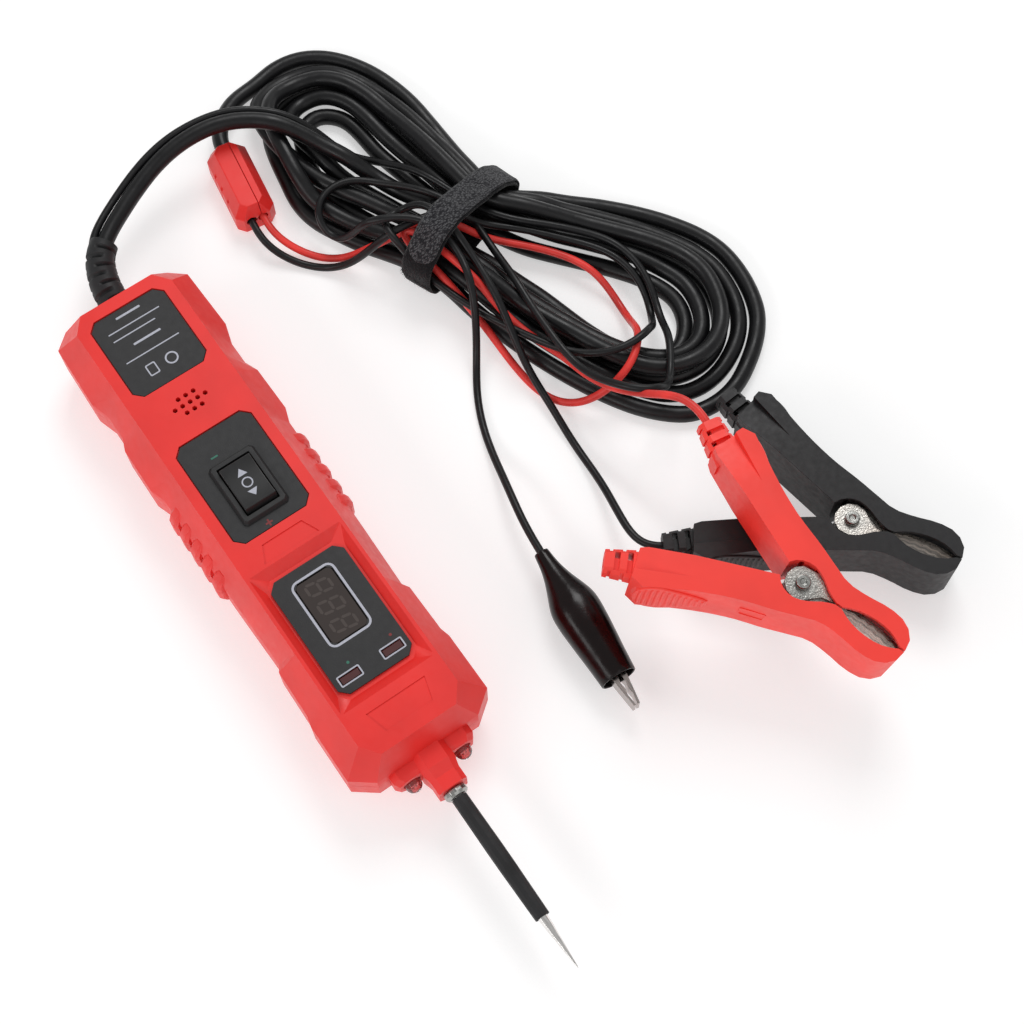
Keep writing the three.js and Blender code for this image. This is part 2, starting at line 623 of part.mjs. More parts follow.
function buildLead() {
  const rear = placeAt(BLOCK, -BLOCK.length / 2 + 3, 0, BLOCK.height / 2);
  const start = [rear, placeAt(BLOCK, -BLOCK.length / 2 - 3, 0, BLOCK.height / 2), [-127, 61.5, 5],
    [-132.5, 68.5, 3]];
  const turns = TURN_LANES.flatMap((_, i) => turnPoints(i));
  const exit = inCoil([[-11, 1], [-20, 0.6], [-32, 0], [-42, -1.5], [-54, -3.8], [-66, -8, 16],
    [-76, -15, 19]]);
  const toTester = [[-119.7, 51, 19.5], [-119.6, 42, 18.5], [-117.4, 32, 17.6], [-113.6, 23, 16.8],
    [-108.6, 13.6, 16.3], RELIEF[3], RELIEF[2], RELIEF[1], [-76, 0, PROBE_Z]];
  const points = drape([...start, ...turns, ...exit, ...toTester], CABLE_R, 2.5, 5);
  addMesh(model, "main_cable", tube(points, CABLE_R, 8.5, 6), CABLE_BLACK, 0.4);
}

// The junction block where the two-core lead splits into the clamp wires: two halves, parted
// along the lead, with a splice for each core inside.
function buildJunction() {
  const { length, width, height } = BLOCK;
  const half = length / 2;
  const ring = (x, y, c, z) => chamfered(0, 0, x, y, c).map(([px, py]) => vec(px, py, z));
  const outer = loft([ring(half - 1.2, width / 2 - 1.2, 1.5, 0), ring(half, width / 2, 2.2, 1.5),
    ring(half, width / 2, 2.2, 8), ring(half - 1.5, width / 2 - 2.8, 1.8, height)]);
  const hollow = block(-half + 5, half - 3.2, -4, 4, 3, 10);
  const cableBore = turnedX(rod(3.5, 20), 8, -half - 10, 0, height / 2);
  const wireBores = [CORE_Y, -CORE_Y].map((y) => turnedX(rod(WIRE_BORE_R, 20), 8, half - 10, y, height / 2));
  const grips = [-5, 0, 5].map((x) => block(x - 0.45, x + 0.45, -width, 0.8 - width / 2, 2.5, 9.5));
  const shell = cut(outer, hollow, cableBore, ...wireBores, ...grips);
  const seam = 1.6;
  const halves = new THREE.Group();
  halves.position.set(BLOCK.x, BLOCK.y, 0);
  halves.rotation.z = rad(BLOCK.yaw);
  model.add(halves);
  addSolid(halves, "junction_shell_left", shell.intersect(block(-20, 20, seam + 0.15, 20, -1, 20)), RED, 0.4);
  addSolid(halves, "junction_shell_right", shell.intersect(block(-20, 20, -20, seam, -1, 20)), RED, 0.4);
  [CORE_Y, -CORE_Y].forEach((y, i) => {
    const splice = turnedX(rod(1.5, 7), 8, -1, y, height / 2);
    addSolid(halves, ["splice_positive", "splice_negative"][i], splice, 0xb08d3c, 0.3, 1);
  });
}

const bootEnd = (pose, side) => {
  const reach = 54.3;
  const a = rad(180 - side * HANDLE_ANGLE);
  return { pose, a: reach * cos(a), b: reach * sin(a) };
};

// The last stretch of a wire: straight into a clamp's boot.
function intoBoot({ pose, a, b }) {
  return [1.1, 1, 0.8].map((k) => clampPoint(pose, a * k, b * k, 0));
}

function fromJunction(y, z) {
  const { length } = BLOCK;
  return [placeAt(BLOCK, length / 2 - 5, y, BLOCK.height / 2), placeAt(BLOCK, length / 2 + 2, y, z)];
}

function buildWires() {
  const red = [
    ...fromJunction(CORE_Y, 6.4),
    ...inCoil([[-47, -34.5], [-38, -33], [-24.5, -27.5], [-14, -19], [-6, -9], [1, -3.6], [12, 3], [24, 8.6],
      [36, 12], [47.6, 11], [58.3, 6], [67, -2], [70.6, -9.7], [70.3, -17], [67.3, -23.2], [61.6, -28],
      [52, -30], [43, -28], [32, -25], [16, -20.5], [0, -17.2], [-9, -17.4], [-13, -15.4], [-9, -13.6],
      [0, -13.8], [16, -15.5], [28, -18], [40, -19], [52, -19.7, 10], [63.5, -22.4, 12], [74, -22.4, 15],
      [83, -21.4, 20], [90.5, -19.6, 26.5]]),
    ...intoBoot(bootEnd(RED_CLAMP, 1)),
  ];
  const black = [
    ...fromJunction(-CORE_Y, 6.2),
    ...inCoil([[-48, -38.6], [-38, -37], [-24.5, -31], [-13, -21], [-6, -8], [1, -0.2], [12, 7],
      [26, 13], [40, 18.5], [51, 18.5], [61, 13.5], [67.5, 5.5], [69, -4], [64.5, -12.4], [56, -17.5],
      [46, -20], [31, -21], [14, -21.5], [0, -20.4], [-12, -20.5], [-18, -14], [-11, -7], [0, -7],
      [12, -10.5], [22, -15], [31.2, -20], [39, -25], [50.4, -29.6], [66.8, -37], [80.3, -43]]),
    ...intoBoot(bootEnd(BLACK_CLAMP, -1)),
  ];
  const clipEntry = [placeAt(CLIP, -9, 0, CLIP.z), placeAt(CLIP, -2, 0, CLIP.z), placeAt(CLIP, 12, 0, CLIP.z)];
  const aux = [
    [-105.6, 2.4, 16.2], [-112.1, 11.5, 16.6], [-117.3, 21.2, 16.9], [-121.3, 30.8, 17.6], [-123.7, 41.5, 18.5],
    [-123.8, 51.5, 19.3],
    ...inCoil([[-79.3, -12.2, 18.5], [-67.9, -4.3, 16], [-55, 0.4], [-42, 3.4], [-30, 6], [-14, 7], [0, 6.4], [12, 9], [26, 16],
      [40, 22], [54, 20], [65, 12], [74, 3.5], [81, -6], [84.5, -14], [82, -20.5], [72, -23.5], [58, -22],
      [40, -15], [24, -7], [10, -0.5], [0, 3], [-14, 1.5], [-30, -3.4], [-38, -8], [-41.3, -16],
      [-39, -23], [-31, -26], [-20, -21.5], [-9, -12.5], [0, -10.4], [8.5, -12.5], [16.2, -17.5],
      [22.9, -24.3], [28.3, -31.6], [33.8, -39.7], [43.2, -49.2], [54.4, -57.3]]),
    ...clipEntry,
  ];
  addMesh(model, "red_wire", tube(drape(red, WIRE_R, 1.5, 4), WIRE_R, 5.5, 5), 0xc8302e, 0.4);
  addMesh(model, "black_wire", tube(drape(black, WIRE_R, 1.5, 4), WIRE_R, 5.5, 5), CABLE_BLACK, 0.4);
  addMesh(model, "aux_wire", tube(drape(aux, WIRE_R, 1.5, 4), WIRE_R, 5.5, 5), CABLE_BLACK, 0.4);
}

// The hook-and-loop strap: a closed band pulled tight round every strand at the coil's waist.
function buildStrap() {
  const a = rad(COIL.yaw);
  const half = STRAP_WIDTH / 2;
  const circle = 10;
  const around = (grow, width) => {
    const points = [];
    for (const [x, y, z, r] of laid) {
      const u = (x - COIL.x) * cos(a) + (y - COIL.y) * sin(a);
      const v = (y - COIL.y) * cos(a) - (x - COIL.x) * sin(a);
      if (abs(u) > half + 2 || abs(v) > 40) continue;
      for (let k = 0; k < circle; k++) {
        const t = (2 * PI * k) / circle;
        const reach = (r + grow) / cos(PI / circle);
        const pv = v + reach * cos(t);
        const pz = max(z + reach * sin(t), STRAP_THICK + 0.4 - grow);
        points.push(vec(-width, pv, pz), vec(width, pv, pz));
      }
    }
    return solid(new ConvexGeometry(points));
  };
  const clearance = 0.5;
  const band = around(clearance + STRAP_THICK, half).subtract(around(clearance, half + 4));
  const floorCut = block(-20, 20, -60, 60, -20, 0.05);
  const mesh = addSolid(model, "cable_strap", band.subtract(floorCut), 0x3a3b3d, 0.9);
  mesh.position.set(COIL.x, COIL.y, 0);
  mesh.rotation.z = a;
}

// ---------------------------------------------------------------- battery clamps
// Upper half of a clamp in its own axes: x from the rivet to the jaw tip, y across, z through the
// thickness. The lower half is its mirror image.
const mirrorY = (points) => points.map(([x, y]) => [x, -y]).reverse();

// The moulded cover: handle, jaw arm and the ladder-shaped cable boot.
function clampCover() {
  const half = CLAMP_THICK / 2;
  const hub = [[-6.2, 2.3], [-5, 3.8], [-2.6, 5.2], [0.6, 5.4], [4, 4], [7.5, 1.6], [10.5, 0.3]];
  const mouth = [[12.5, 0.3], [16, 1.9], [21, 2.8], [26, 2.5], [29.5, 1.2], [31, 0.3]];
  const back = [[JAW_LENGTH, 0.3], [32.2, 3.2], [30.2, 5.8], [27, 7.4], [22, 7.7], [16, 7], [10, 7],
    [5, 8.8], [-2, 11.6], [-11, 14.8], [-21, 19.6], [-34.4, 27.6]];
  const end = [[-38.2, 27], [-41.2, 18.2], [-39.4, 16.8]];
  const outline = [...throughPoints(hub, 10), ...throughPoints(mouth, 8), ...throughPoints(back, 24), ...end];
  const channel = [
    [-3, 4.2], [-2, 7.6], [-10, 11.4], [-20, 16], [-27, 19.6], [-28, 14.3], [-20, 10.6], [-8, 5.6],
  ];
  const jawPocket = [[1, 0], [33, 0], [30.4, 3.6], [26.5, 5.6], [22, 6], [12, 5.4], [6, 6.4], [1, 7.6]];
  const body = prism(outline, -half, half);
  const hollow = half - 1.4;
  const hollowed = cut(body, prism(channel, -hollow, hollow), prism(jawPocket, -hollow, hollow));
  return cut(join(hollowed, boot()), wireBore(), gripRamp(1), gripRamp(-1));
}

// A smooth open line through the points, as `count` + 1 points.
function throughPoints(points, count) {
  const line = new THREE.CatmullRomCurve3(points.map(([x, y]) => vec(x, y)), false, "centripetal");
  return line.getSpacedPoints(count).map((p) => [p.x, p.y]);
}

// The face of the handle slopes away beside the thumb pad, deepest at the handle's end.
function gripRamp(face) {
  const top = CLAMP_THICK / 2;
  const depth = 2.6;
  const profile = [[30, top], [47, top - depth], [47, top + 1], [30, top + 1]];
  const slope = sideProfile(profile, 5).transform(new THREE.Matrix4().makeTranslation(0, 1.8, 0).elements);
  const placed = slope.transform(handleFrame(0));
  return face === 1 ? placed : placed.mirror([0, 0, 1]);
}

// The cable boot: a tapered bar with a ladder of grooves and windows beside the wire, and notched edges.
function boot() {
  const length = 13.5;
  const pitch = 3.6;
  const slot = 1.5;
  const wide = 4.6;
  const narrow = 3.4;
  const section = (half, x) => chamfered(0, 0, half, half, half * 0.4).map(([y, z]) => vec(y, z, x));
  const bar = loft([section(wide, 0), section(narrow, length)]);
  const turn = new THREE.Matrix4().makeBasis(vec(0, 1, 0), vec(0, 0, 1), vec(1, 0, 0));
  let ladder = bar.transform(turn.elements);
  for (let k = 0; k < 3; k++) {
    const x = 2 + k * pitch;
    const half = wide + ((narrow - wide) * x) / length;
    const rail = half - 1.1;
    const groove = block(x, x + slot, -rail, rail, 2.3, 8);
    const window = block(x, x + slot, 1.1, rail, -8, 8);
    const notch = block(x + slot + 0.6, x + slot + 1.5, half - 0.9, 8, -8, 8);
    ladder = cut(ladder, groove, groove.mirror([0, 0, 1]), window, notch, notch.mirror([0, 1, 0]));
  }
  return ladder.transform(handleFrame(40.5));
}

// A frame on the handle's axis, `distance` from the rivet, with x pointing away from it.
function handleFrame(distance) {
  const a = rad(180 - HANDLE_ANGLE);
  const m = new THREE.Matrix4().makeRotationZ(a);
  m.setPosition(distance * cos(a), distance * sin(a), 0);
  return m.elements;
}

const wireBore = () => turnedX(rod(WIRE_BORE_R, 30), 8).transform(handleFrame(30));

// The stamped steel half inside the cover: two eye-shaped ears on the rivet, a jaw with a wavy
// edge and the web that joins them. The moving half's ears sit inside the fixed half's.
function clampJaw(earZ) {
  const thick = 1;
  const ear = [
    [-4.9, 0], [-4.2, -2.5], [-2.4, -4.3], [0, -4.9], [2.4, -4.3], [4.3, -2.3], [6.4, -0.2], [9.6, 0.4], [9.6, 4.6],
    [4.6, 5.6], [1.6, 4.8], [-2.4, 4.3], [-4.2, 2.5],
  ];
  const arm = [[7.4, 0.6], [9.6, 0.6], [9.6, 4.6], [7.4, 5.2]];
  const hole = turnedZ(rod(1.5, 40), 12, 0, 0, -20);
  const plates = [earZ, -earZ - thick].map((z) => prism(ear, z, z + thick));
  const strip = [];
  const waves = 7;
  const start = 8;
  const length = 22.5;
  const bow = (t) => sin(PI * t) ** 0.8;
  for (let i = 0; i <= waves * 2; i++) {
    const t = i / (waves * 2);
    strip.push([start + t * length, 0.35 + 1.4 * bow(t) + (i % 2 ? 0.35 : 0)]);
  }
  for (let i = waves; i >= 0; i--) {
    const t = i / waves;
    strip.push([start + t * length, 1.45 + 1.5 * bow(t)]);
  }
  const jaw = prism(strip, -5.4, 5.4);
  const web = prism(arm, -earZ - thick, earZ + thick);
  return join(plates[0], plates[1], web, jaw).subtract(hole);
}

function clampRivet() {
  const face = 8.9;
  const headBase = 7.6;
  return turnedZ([[0, -face], [1.9, -face], [2.2, -8.3], [2.2, -headBase], [1.2, -headBase], [1.2, headBase],
    [2.2, headBase], [2.2, 8.3], [1.9, face], [1, face], [0.8, 8.3], [0, 8.3]], 14);
}

// The torsion spring round the rivet, one leg lying in each handle's direction.
function clampSpring() {
  const points = [];
  const turns = 2.5;
  const steps = 18;
  const coilR = 3.3;
  for (let i = 0; i <= steps; i++) {
    const t = i / steps;
    const a = PI * 0.75 + t * turns * 2 * PI;
    points.push(vec(coilR * cos(a), coilR * sin(a), -2.6 + 5.2 * t));
  }
  return solid(tube(points, 0.6, 2.6, 4));
}

function buildClamp(pose, prefix, coverColor, movingSide) {
  const clamp = new THREE.Group();
  clamp.rotation.order = "ZYX";
  clamp.position.set(pose.x, pose.y, pose.z);
  clamp.rotation.set(0, rad(pose.pitch), rad(pose.yaw));
  model.add(clamp);
  const upperCover = clampCover();
  const lowerCover = upperCover.mirror([0, 1, 0]);
  const moving = movingSide === 1 ? upperCover : lowerCover;
  const fixed = movingSide === 1 ? lowerCover : upperCover;
  const outerEar = 6.2;
  const innerEar = 4.9;
  const jawOf = (side, earZ) => (side === 1 ? clampJaw(earZ) : clampJaw(earZ).mirror([0, 1, 0]));
  addSolid(clamp, prefix + "_handle_fixed", fixed, coverColor, 0.42);
  addSolid(clamp, prefix + "_handle_moving", moving, coverColor, 0.42);
  addSolid(clamp, prefix + "_jaw_fixed", jawOf(-movingSide, outerEar), STEEL, 0.3, 1);
  addSolid(clamp, prefix + "_jaw_moving", jawOf(movingSide, innerEar), STEEL, 0.3, 1);
  addSolid(clamp, prefix + "_rivet", clampRivet(), STEEL, 0.25, 1);
  addSolid(clamp, prefix + "_spring", clampSpring(), STEEL, 0.3, 1);
}

// ---------------------------------------------------------------- alligator clip
function buildClip() {
  const clip = new THREE.Group();
  clip.position.set(CLIP.x, CLIP.y, CLIP.z);
  clip.rotation.z = rad(CLIP.yaw);
  model.add(clip);
  const length = 43.5; // boot
  const sections = [[0, 2.35, 2.35], [6, 3, 3], [12, 5.2, 4.8], [17, 7.4, 6.6], [21, 7.7, 7.2], [28, 7.2, 6.9],
    [36, 6.3, 6.2], [length, 5.7, 5.7]];
  const oval = (x, y, z, n) => {
    const ring = [];
    for (let k = 0; k < n; k++) ring.push(vec(y * cos((2 * PI * k) / n), z * sin((2 * PI * k) / n), x));
    return ring;
  };
  const turn = new THREE.Matrix4().makeBasis(vec(0, 1, 0), vec(0, 0, 1), vec(1, 0, 0));
  const outer = loft(sections.map(([x, y, z]) => oval(x, y, z, 12)));
  const wall = 0.8;
  const inner = loft([[-1, 1.6, 1.6], [8, 1.7, 1.7], [14, 5, 4.6], [19, 6.6, 6], [28, 6.4, 6],
    [length + 1, 5.75 - wall, 5.75 - wall]].map(([x, y, z]) => oval(x, y, z, 12)));
  addSolid(clip, "clip_boot", outer.subtract(inner).transform(turn.elements), 0x141416, 0.15);

  const pivotX = 33;
  const tipX = 53;
  const halfProfile = [[17, 3.7], [26, 3.2], [pivotX - 3, 2.4], [pivotX, 2.4], [pivotX + 3, 2], [39.5, 0.4],
    [41.5, 0.8], [43.5, 0.4], [45.5, 0.8], [47.5, 0.4], [49.5, 0.8], [tipX, 0.2], [tipX, 1], [44, 2.2],
    [pivotX + 3, 3.2], [pivotX, 3.5], [26, 4.6], [18.5, 5], [17, 4.6]];
  const hub = (z0, z1, side) => {
    const ear = [[pivotX - 2.2, 2.8 * side], [pivotX - 1.4, -1.5 * side], [pivotX + 1.4, -1.5 * side],
      [pivotX + 2.2, 2.8 * side]];
    return prism(side === 1 ? ear : ear.reverse(), z0, z1);
  };
  const pinHole = turnedZ(rod(0.95, 20), 8, pivotX, 0, -10);
  const upper = join(prism(halfProfile, -2.6, 2.6), hub(-2.6, -1.7, 1), hub(1.7, 2.6, 1)).subtract(pinHole);
  const lower = join(prism(mirrorY(halfProfile), -2.6, 2.6), hub(-1.3, -0.4, -1), hub(0.4, 1.3, -1))
    .subtract(pinHole);
  addSolid(clip, "clip_jaw_left", upper, STEEL, 0.3, 1);
  addSolid(clip, "clip_jaw_right", lower, STEEL, 0.3, 1);
  addSolid(clip, "clip_pin", turnedZ([[0, -3.2], [0.65, -3.2], [0.65, 3.2], [0, 3.2]], 8, pivotX, 0, 0),
    STEEL, 0.25, 1);
}

buildCovers();
buildFace();
buildSwitch();
buildInside();
buildHeadlights();
buildProbe();
buildStrainRelief();
buildLead();
buildJunction();
buildWires();
buildStrap();
buildClamp(BLACK_CLAMP, "black", BLACK, 1);
buildClamp(RED_CLAMP, "red", CLAMP_RED, -1);
buildClip();

export default model;
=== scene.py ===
"""The looks of a handheld circuit test light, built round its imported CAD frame. Lengths are in metres."""

import json
import math
import random

import bmesh
import bpy
from mathutils import Matrix, Vector
from mathutils.bvhtree import BVHTree


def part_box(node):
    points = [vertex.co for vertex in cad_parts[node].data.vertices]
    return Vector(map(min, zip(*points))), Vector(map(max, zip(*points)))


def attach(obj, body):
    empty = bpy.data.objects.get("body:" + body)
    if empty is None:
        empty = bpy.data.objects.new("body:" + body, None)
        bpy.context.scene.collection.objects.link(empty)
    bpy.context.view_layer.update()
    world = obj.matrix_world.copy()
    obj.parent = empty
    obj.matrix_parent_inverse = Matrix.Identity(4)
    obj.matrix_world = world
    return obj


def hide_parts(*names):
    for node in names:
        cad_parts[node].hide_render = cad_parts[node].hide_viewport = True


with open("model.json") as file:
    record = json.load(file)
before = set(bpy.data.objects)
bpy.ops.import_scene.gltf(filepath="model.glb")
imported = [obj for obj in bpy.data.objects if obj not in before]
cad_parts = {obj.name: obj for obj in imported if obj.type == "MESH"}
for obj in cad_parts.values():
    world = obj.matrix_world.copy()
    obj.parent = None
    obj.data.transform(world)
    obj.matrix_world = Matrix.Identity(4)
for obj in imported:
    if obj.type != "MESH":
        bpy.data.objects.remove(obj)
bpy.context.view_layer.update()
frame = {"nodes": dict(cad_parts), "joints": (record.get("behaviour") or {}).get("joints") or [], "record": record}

# ---------------------------------------------------------------- driving dimensions
MM = 0.001
WELD = 3e-6
ROOT = "tester"
CAMERA = {"azimuth": 55.89, "elevation": 68.6, "roll": -0.84, "distance": 562 * MM,
          "target": Vector((33 * MM, 62.5 * MM, 0)), "lens": 66.8}
COIL_YAW = math.radians(20)
MAIN_CABLE_R = 2.6 * MM
WIRE_R = 1.2 * MM
STRAP_LAYER = 0.9 * MM
STRAP_HALF_WIDTH = 5.2 * MM
STRAP_STEP = 0.8 * MM
STRAP_THICK = 1.1 * MM
TAIL_START = 3 * MM
TAIL_SHORT_OF_BEND = 7 * MM
PRINT_THICK = 0.05 * MM
CLAMPS = {
    "black": {"yaw": 32.5, "pitch": 0, "moving_side": 1},
    "red": {"yaw": 19, "pitch": 4, "moving_side": -1},
}

RED_PLASTIC = (0.82, 0.026, 0.021)
CLAMP_RED = (0.94, 0.046, 0.032)
WIRE_RED = (0.66, 0.04, 0.033)
PLATE_BLACK = (0.02, 0.02, 0.021)
CLAMP_BLACK = (0.012, 0.012, 0.013)
CABLE_BLACK = (0.0045, 0.0045, 0.0052)
PRINT_WHITE = (0.47, 0.48, 0.55)
ZINC = (0.42, 0.42, 0.4)
JAW_STEEL = (0.5, 0.44, 0.39)
NICKEL = (0.85, 0.83, 0.81)


# ---------------------------------------------------------------- materials
class Graph:
    """A Principled material under construction, with short names for the nodes that it needs."""

    def __init__(self, name, roughness=0.5, metallic=0.0):
        self.material = bpy.data.materials.new(name)
        self.material.use_nodes = True
        self.tree = self.material.node_tree
        self.shader = self.tree.nodes["Principled BSDF"]
        self.coords = self.add("ShaderNodeTexCoord").outputs["Object"]
        self.set("Roughness", roughness)
        self.set("Metallic", metallic)

    def add(self, kind, **inputs):
        node = self.tree.nodes.new(kind)
        for key, value in inputs.items():
            self.put(node.inputs[key], value)
        return node

    def put(self, socket, value):
        if isinstance(value, bpy.types.NodeSocket):
            self.tree.links.new(value, socket)
        else:
            socket.default_value = value

    def set(self, name, value):
        self.put(self.shader.inputs[name], value)

    def scaled(self, stretch):
        """Object coordinates stretched by a factor on each axis."""
        node = self.add("ShaderNodeMapping", Vector=self.coords)
        node.inputs["Scale"].default_value = stretch
        return node.outputs["Vector"]

    def noise(self, size, detail=2.0, vector=None):
        """Noise from 0 to 1 whose blobs are about `size` metres across."""
        node = self.add("ShaderNodeTexNoise", Vector=vector or self.coords, Scale=1 / size, Detail=detail)
        return node.outputs["Fac"]

    def cells(self, size, vector=None):
        node = self.add("ShaderNodeTexVoronoi", Vector=vector or self.coords, Scale=1 / size)
        return node.outputs["Distance"]

    def spread(self, value, low, high, from_low=0.3, from_high=0.7):
        """The value's middle range stretched from `low` to `high`."""
        node = self.add("ShaderNodeMapRange", Value=value)
        node.inputs["From Min"].default_value = from_low
        node.inputs["From Max"].default_value = from_high
        node.inputs["To Min"].default_value = low
        node.inputs["To Max"].default_value = high
        return node.outputs["Result"]

    def blend(self, factor, first, second):
        node = self.tree.nodes.new("ShaderNodeMix")
        node.data_type = "RGBA"
        self.put(node.inputs["Factor"], factor)
        for socket, colour in (("A", first), ("B", second)):
            value = colour if isinstance(colour, bpy.types.NodeSocket) else (*colour, 1)
            target = [s for s in node.inputs if s.name == socket and s.type == "RGBA"][0]
            self.put(target, value)
        return [s for s in node.outputs if s.type == "RGBA"][0]

    def bump(self, height, depth, strength=1.0, under=None):
        node = self.add("ShaderNodeBump", Height=height, Distance=depth, Strength=strength)
        if under is not None:
            self.put(node.inputs["Normal"], under)
        return node.outputs["Normal"]

    def edges(self, radius):
        """1 on convex and concave edges, 0 on flat areas."""
        bevel = self.tree.nodes.new("ShaderNodeBevel")
        bevel.samples = 4
        bevel.inputs["Radius"].default_value = radius
        geometry = self.tree.nodes.new("ShaderNodeNewGeometry")
        dot = self.tree.nodes.new("ShaderNodeVectorMath")
        dot.operation = "DOT_PRODUCT"
        self.put(dot.inputs[0], bevel.outputs["Normal"])
        self.put(dot.inputs[1], geometry.outputs["Normal"])
        return self.spread(dot.outputs["Value"], 1, 0, 0.75, 0.98)


def shade(colour, factor):
    return tuple(min(1.0, c * factor) for c in colour)


def moulded(name, colour, roughness, grain=0.25 * MM, depth=0.012 * MM, wear=0.25, shine=0.45):
    """Injection-moulded plastic: a fine spark-eroded grain, slight mottling and rubbed edges."""
    g = Graph(name, roughness)
    mottle = g.spread(g.noise(14 * MM), 0, 1)
    base = g.blend(mottle, shade(colour, 0.93), shade(colour, 1.05))
    scuffs = g.spread(g.noise(3 * MM, 4), 0, 1, 0.5, 0.75)
    rubbed = tuple(c + (0.5 - c) * 0.22 for c in colour)
    worn = g.tree.nodes.new("ShaderNodeMath")
    worn.operation = "MULTIPLY"
    g.put(worn.inputs[0], g.edges(0.35 * MM))
    g.put(worn.inputs[1], g.spread(scuffs, wear * 0.5, wear, 0, 1))
    g.set("Base Color", g.blend(worn.outputs["Value"], base, rubbed))
    g.set("Roughness", g.spread(g.noise(2 * MM, 3), roughness - 0.05, roughness + 0.07))
    g.set("Specular IOR Level", shine)
    fine = g.bump(g.noise(grain, 1), depth)
    g.set("Normal", g.bump(g.noise(9 * MM), 0.05 * MM, 1, fine))
    return g.material


def vinyl(name, colour, roughness, shine=0.32):
    """Soft PVC: smooth, faintly wavy along its length, with dull patches where it has been handled."""
    g = Graph(name, roughness)
    g.set("Base Color", g.blend(g.spread(g.noise(9 * MM, 3), 0, 1), shade(colour, 0.85), shade(colour, 1.35)))
    g.set("Roughness", g.spread(g.noise(5 * MM, 3), roughness - 0.07, roughness + 0.12))
    fine = g.bump(g.noise(0.5 * MM, 2), 0.02 * MM)
    g.set("Normal", g.bump(g.noise(5 * MM), 0.12 * MM, 1, fine))
    g.set("Specular IOR Level", shine)
    return g.material


def plated(name, colour, roughness):
    """Plated steel, brushed along its length."""
    g = Graph(name, roughness, 1)
    streaks = g.noise(0.4 * MM, 3, g.scaled((0.12, 1, 1)))
    g.set("Base Color", g.blend(g.spread(streaks, 0, 1), shade(colour, 0.82), shade(colour, 1.1)))
    g.set("Roughness", g.spread(streaks, roughness * 0.6, roughness * 1.4))
    g.set("Normal", g.bump(streaks, 0.006 * MM))
    return g.material


def jaw_metal(name, rivet):
    """Stamped jaw: galvanised ears round the rivet and, farther out, brownish steel rolled in bands."""
    g = Graph(name, 0.3, 1)
    away = g.tree.nodes.new("ShaderNodeVectorMath")
    away.operation = "DISTANCE"
    g.put(away.inputs[0], g.coords)
    away.inputs[1].default_value = rivet
    farther = g.spread(away.outputs["Value"], 0, 1, 7 * MM, 11 * MM)
    crystals = g.spread(g.cells(0.8 * MM), 0, 1, 0.1, 0.7)
    flakes = g.spread(g.noise(0.5 * MM, 4), 0, 1)
    ears = g.blend(flakes, g.blend(crystals, shade(ZINC, 0.5), shade(ZINC, 1.35)), shade(ZINC, 0.9))
    bands = g.spread(g.noise(1.6 * MM, 2, g.scaled((0.08, 0.08, 1))), 0, 1)
    jaw = g.blend(bands, shade(JAW_STEEL, 0.3), shade(JAW_STEEL, 1.7))
    g.set("Base Color", g.blend(farther, ears, jaw))
    g.set("Roughness", g.spread(flakes, 0.24, 0.42, 0, 1))
    g.set("Normal", g.bump(flakes, 0.05 * MM))
    return g.material


def clear(name, colour, roughness, transmission):
    """Glossy plastic or glass. With no transmission it is tinted too dark to see through."""
    g = Graph(name, roughness)
    g.set("Base Color", g.blend(g.spread(g.noise(4 * MM), 0, 1), shade(colour, 0.94), colour))
    g.set("Transmission Weight", transmission)
    g.set("IOR", 1.5)
    g.set("Roughness", g.spread(g.noise(1 * MM, 3), roughness, roughness + 0.06))
    return g.material


def printed(name, colour):
    """Screen-printed ink: slightly uneven and a little rough."""
    g = Graph(name, 0.5)
    g.set("Base Color", g.blend(g.spread(g.noise(0.5 * MM, 3), 0, 1), shade(colour, 0.86), colour))
    g.set("Normal", g.bump(g.noise(0.15 * MM), 0.01 * MM))
    return g.material


def hook_and_loop(name, dark, light):
    """Loop pile: short slanted bundles of fibre, light where they catch the light."""
    g = Graph(name, 0.95)
    turned = g.add("ShaderNodeMapping", Vector=g.coords)
    turned.inputs["Rotation"].default_value = (0, 0, COIL_YAW)
    turned.inputs["Scale"].default_value = (1.9, 1, 1)
    rows = g.cells(0.85 * MM, turned.outputs["Vector"])
    fibres = g.noise(0.22 * MM, 3, turned.outputs["Vector"])
    tufts = g.spread(rows, 1, 0, 0.15, 0.65)
    base = g.blend(g.spread(fibres, 0, 1), dark, shade(dark, 4))
    g.set("Base Color", g.blend(tufts, base, light))
    g.set("Sheen Weight", 0.15)
    g.set("Sheen Roughness", 0.4)
    g.set("Normal", g.bump(rows, 0.25 * MM, 0.7, g.bump(fibres, 0.15 * MM)))
    g.set("Specular IOR Level", 0.2)
    return g.material


def circuit_board_green(name):
    """Solder mask over copper areas that show through a little lighter."""
    g = Graph(name, 0.35)
    tracks = g.spread(g.cells(2 * MM), 0, 1, 0.45, 0.5)
    g.set("Base Color", g.blend(tracks, (0.012, 0.09, 0.035), (0.03, 0.16, 0.06)))
    g.set("Normal", g.bump(tracks, 0.03 * MM))
    return g.material


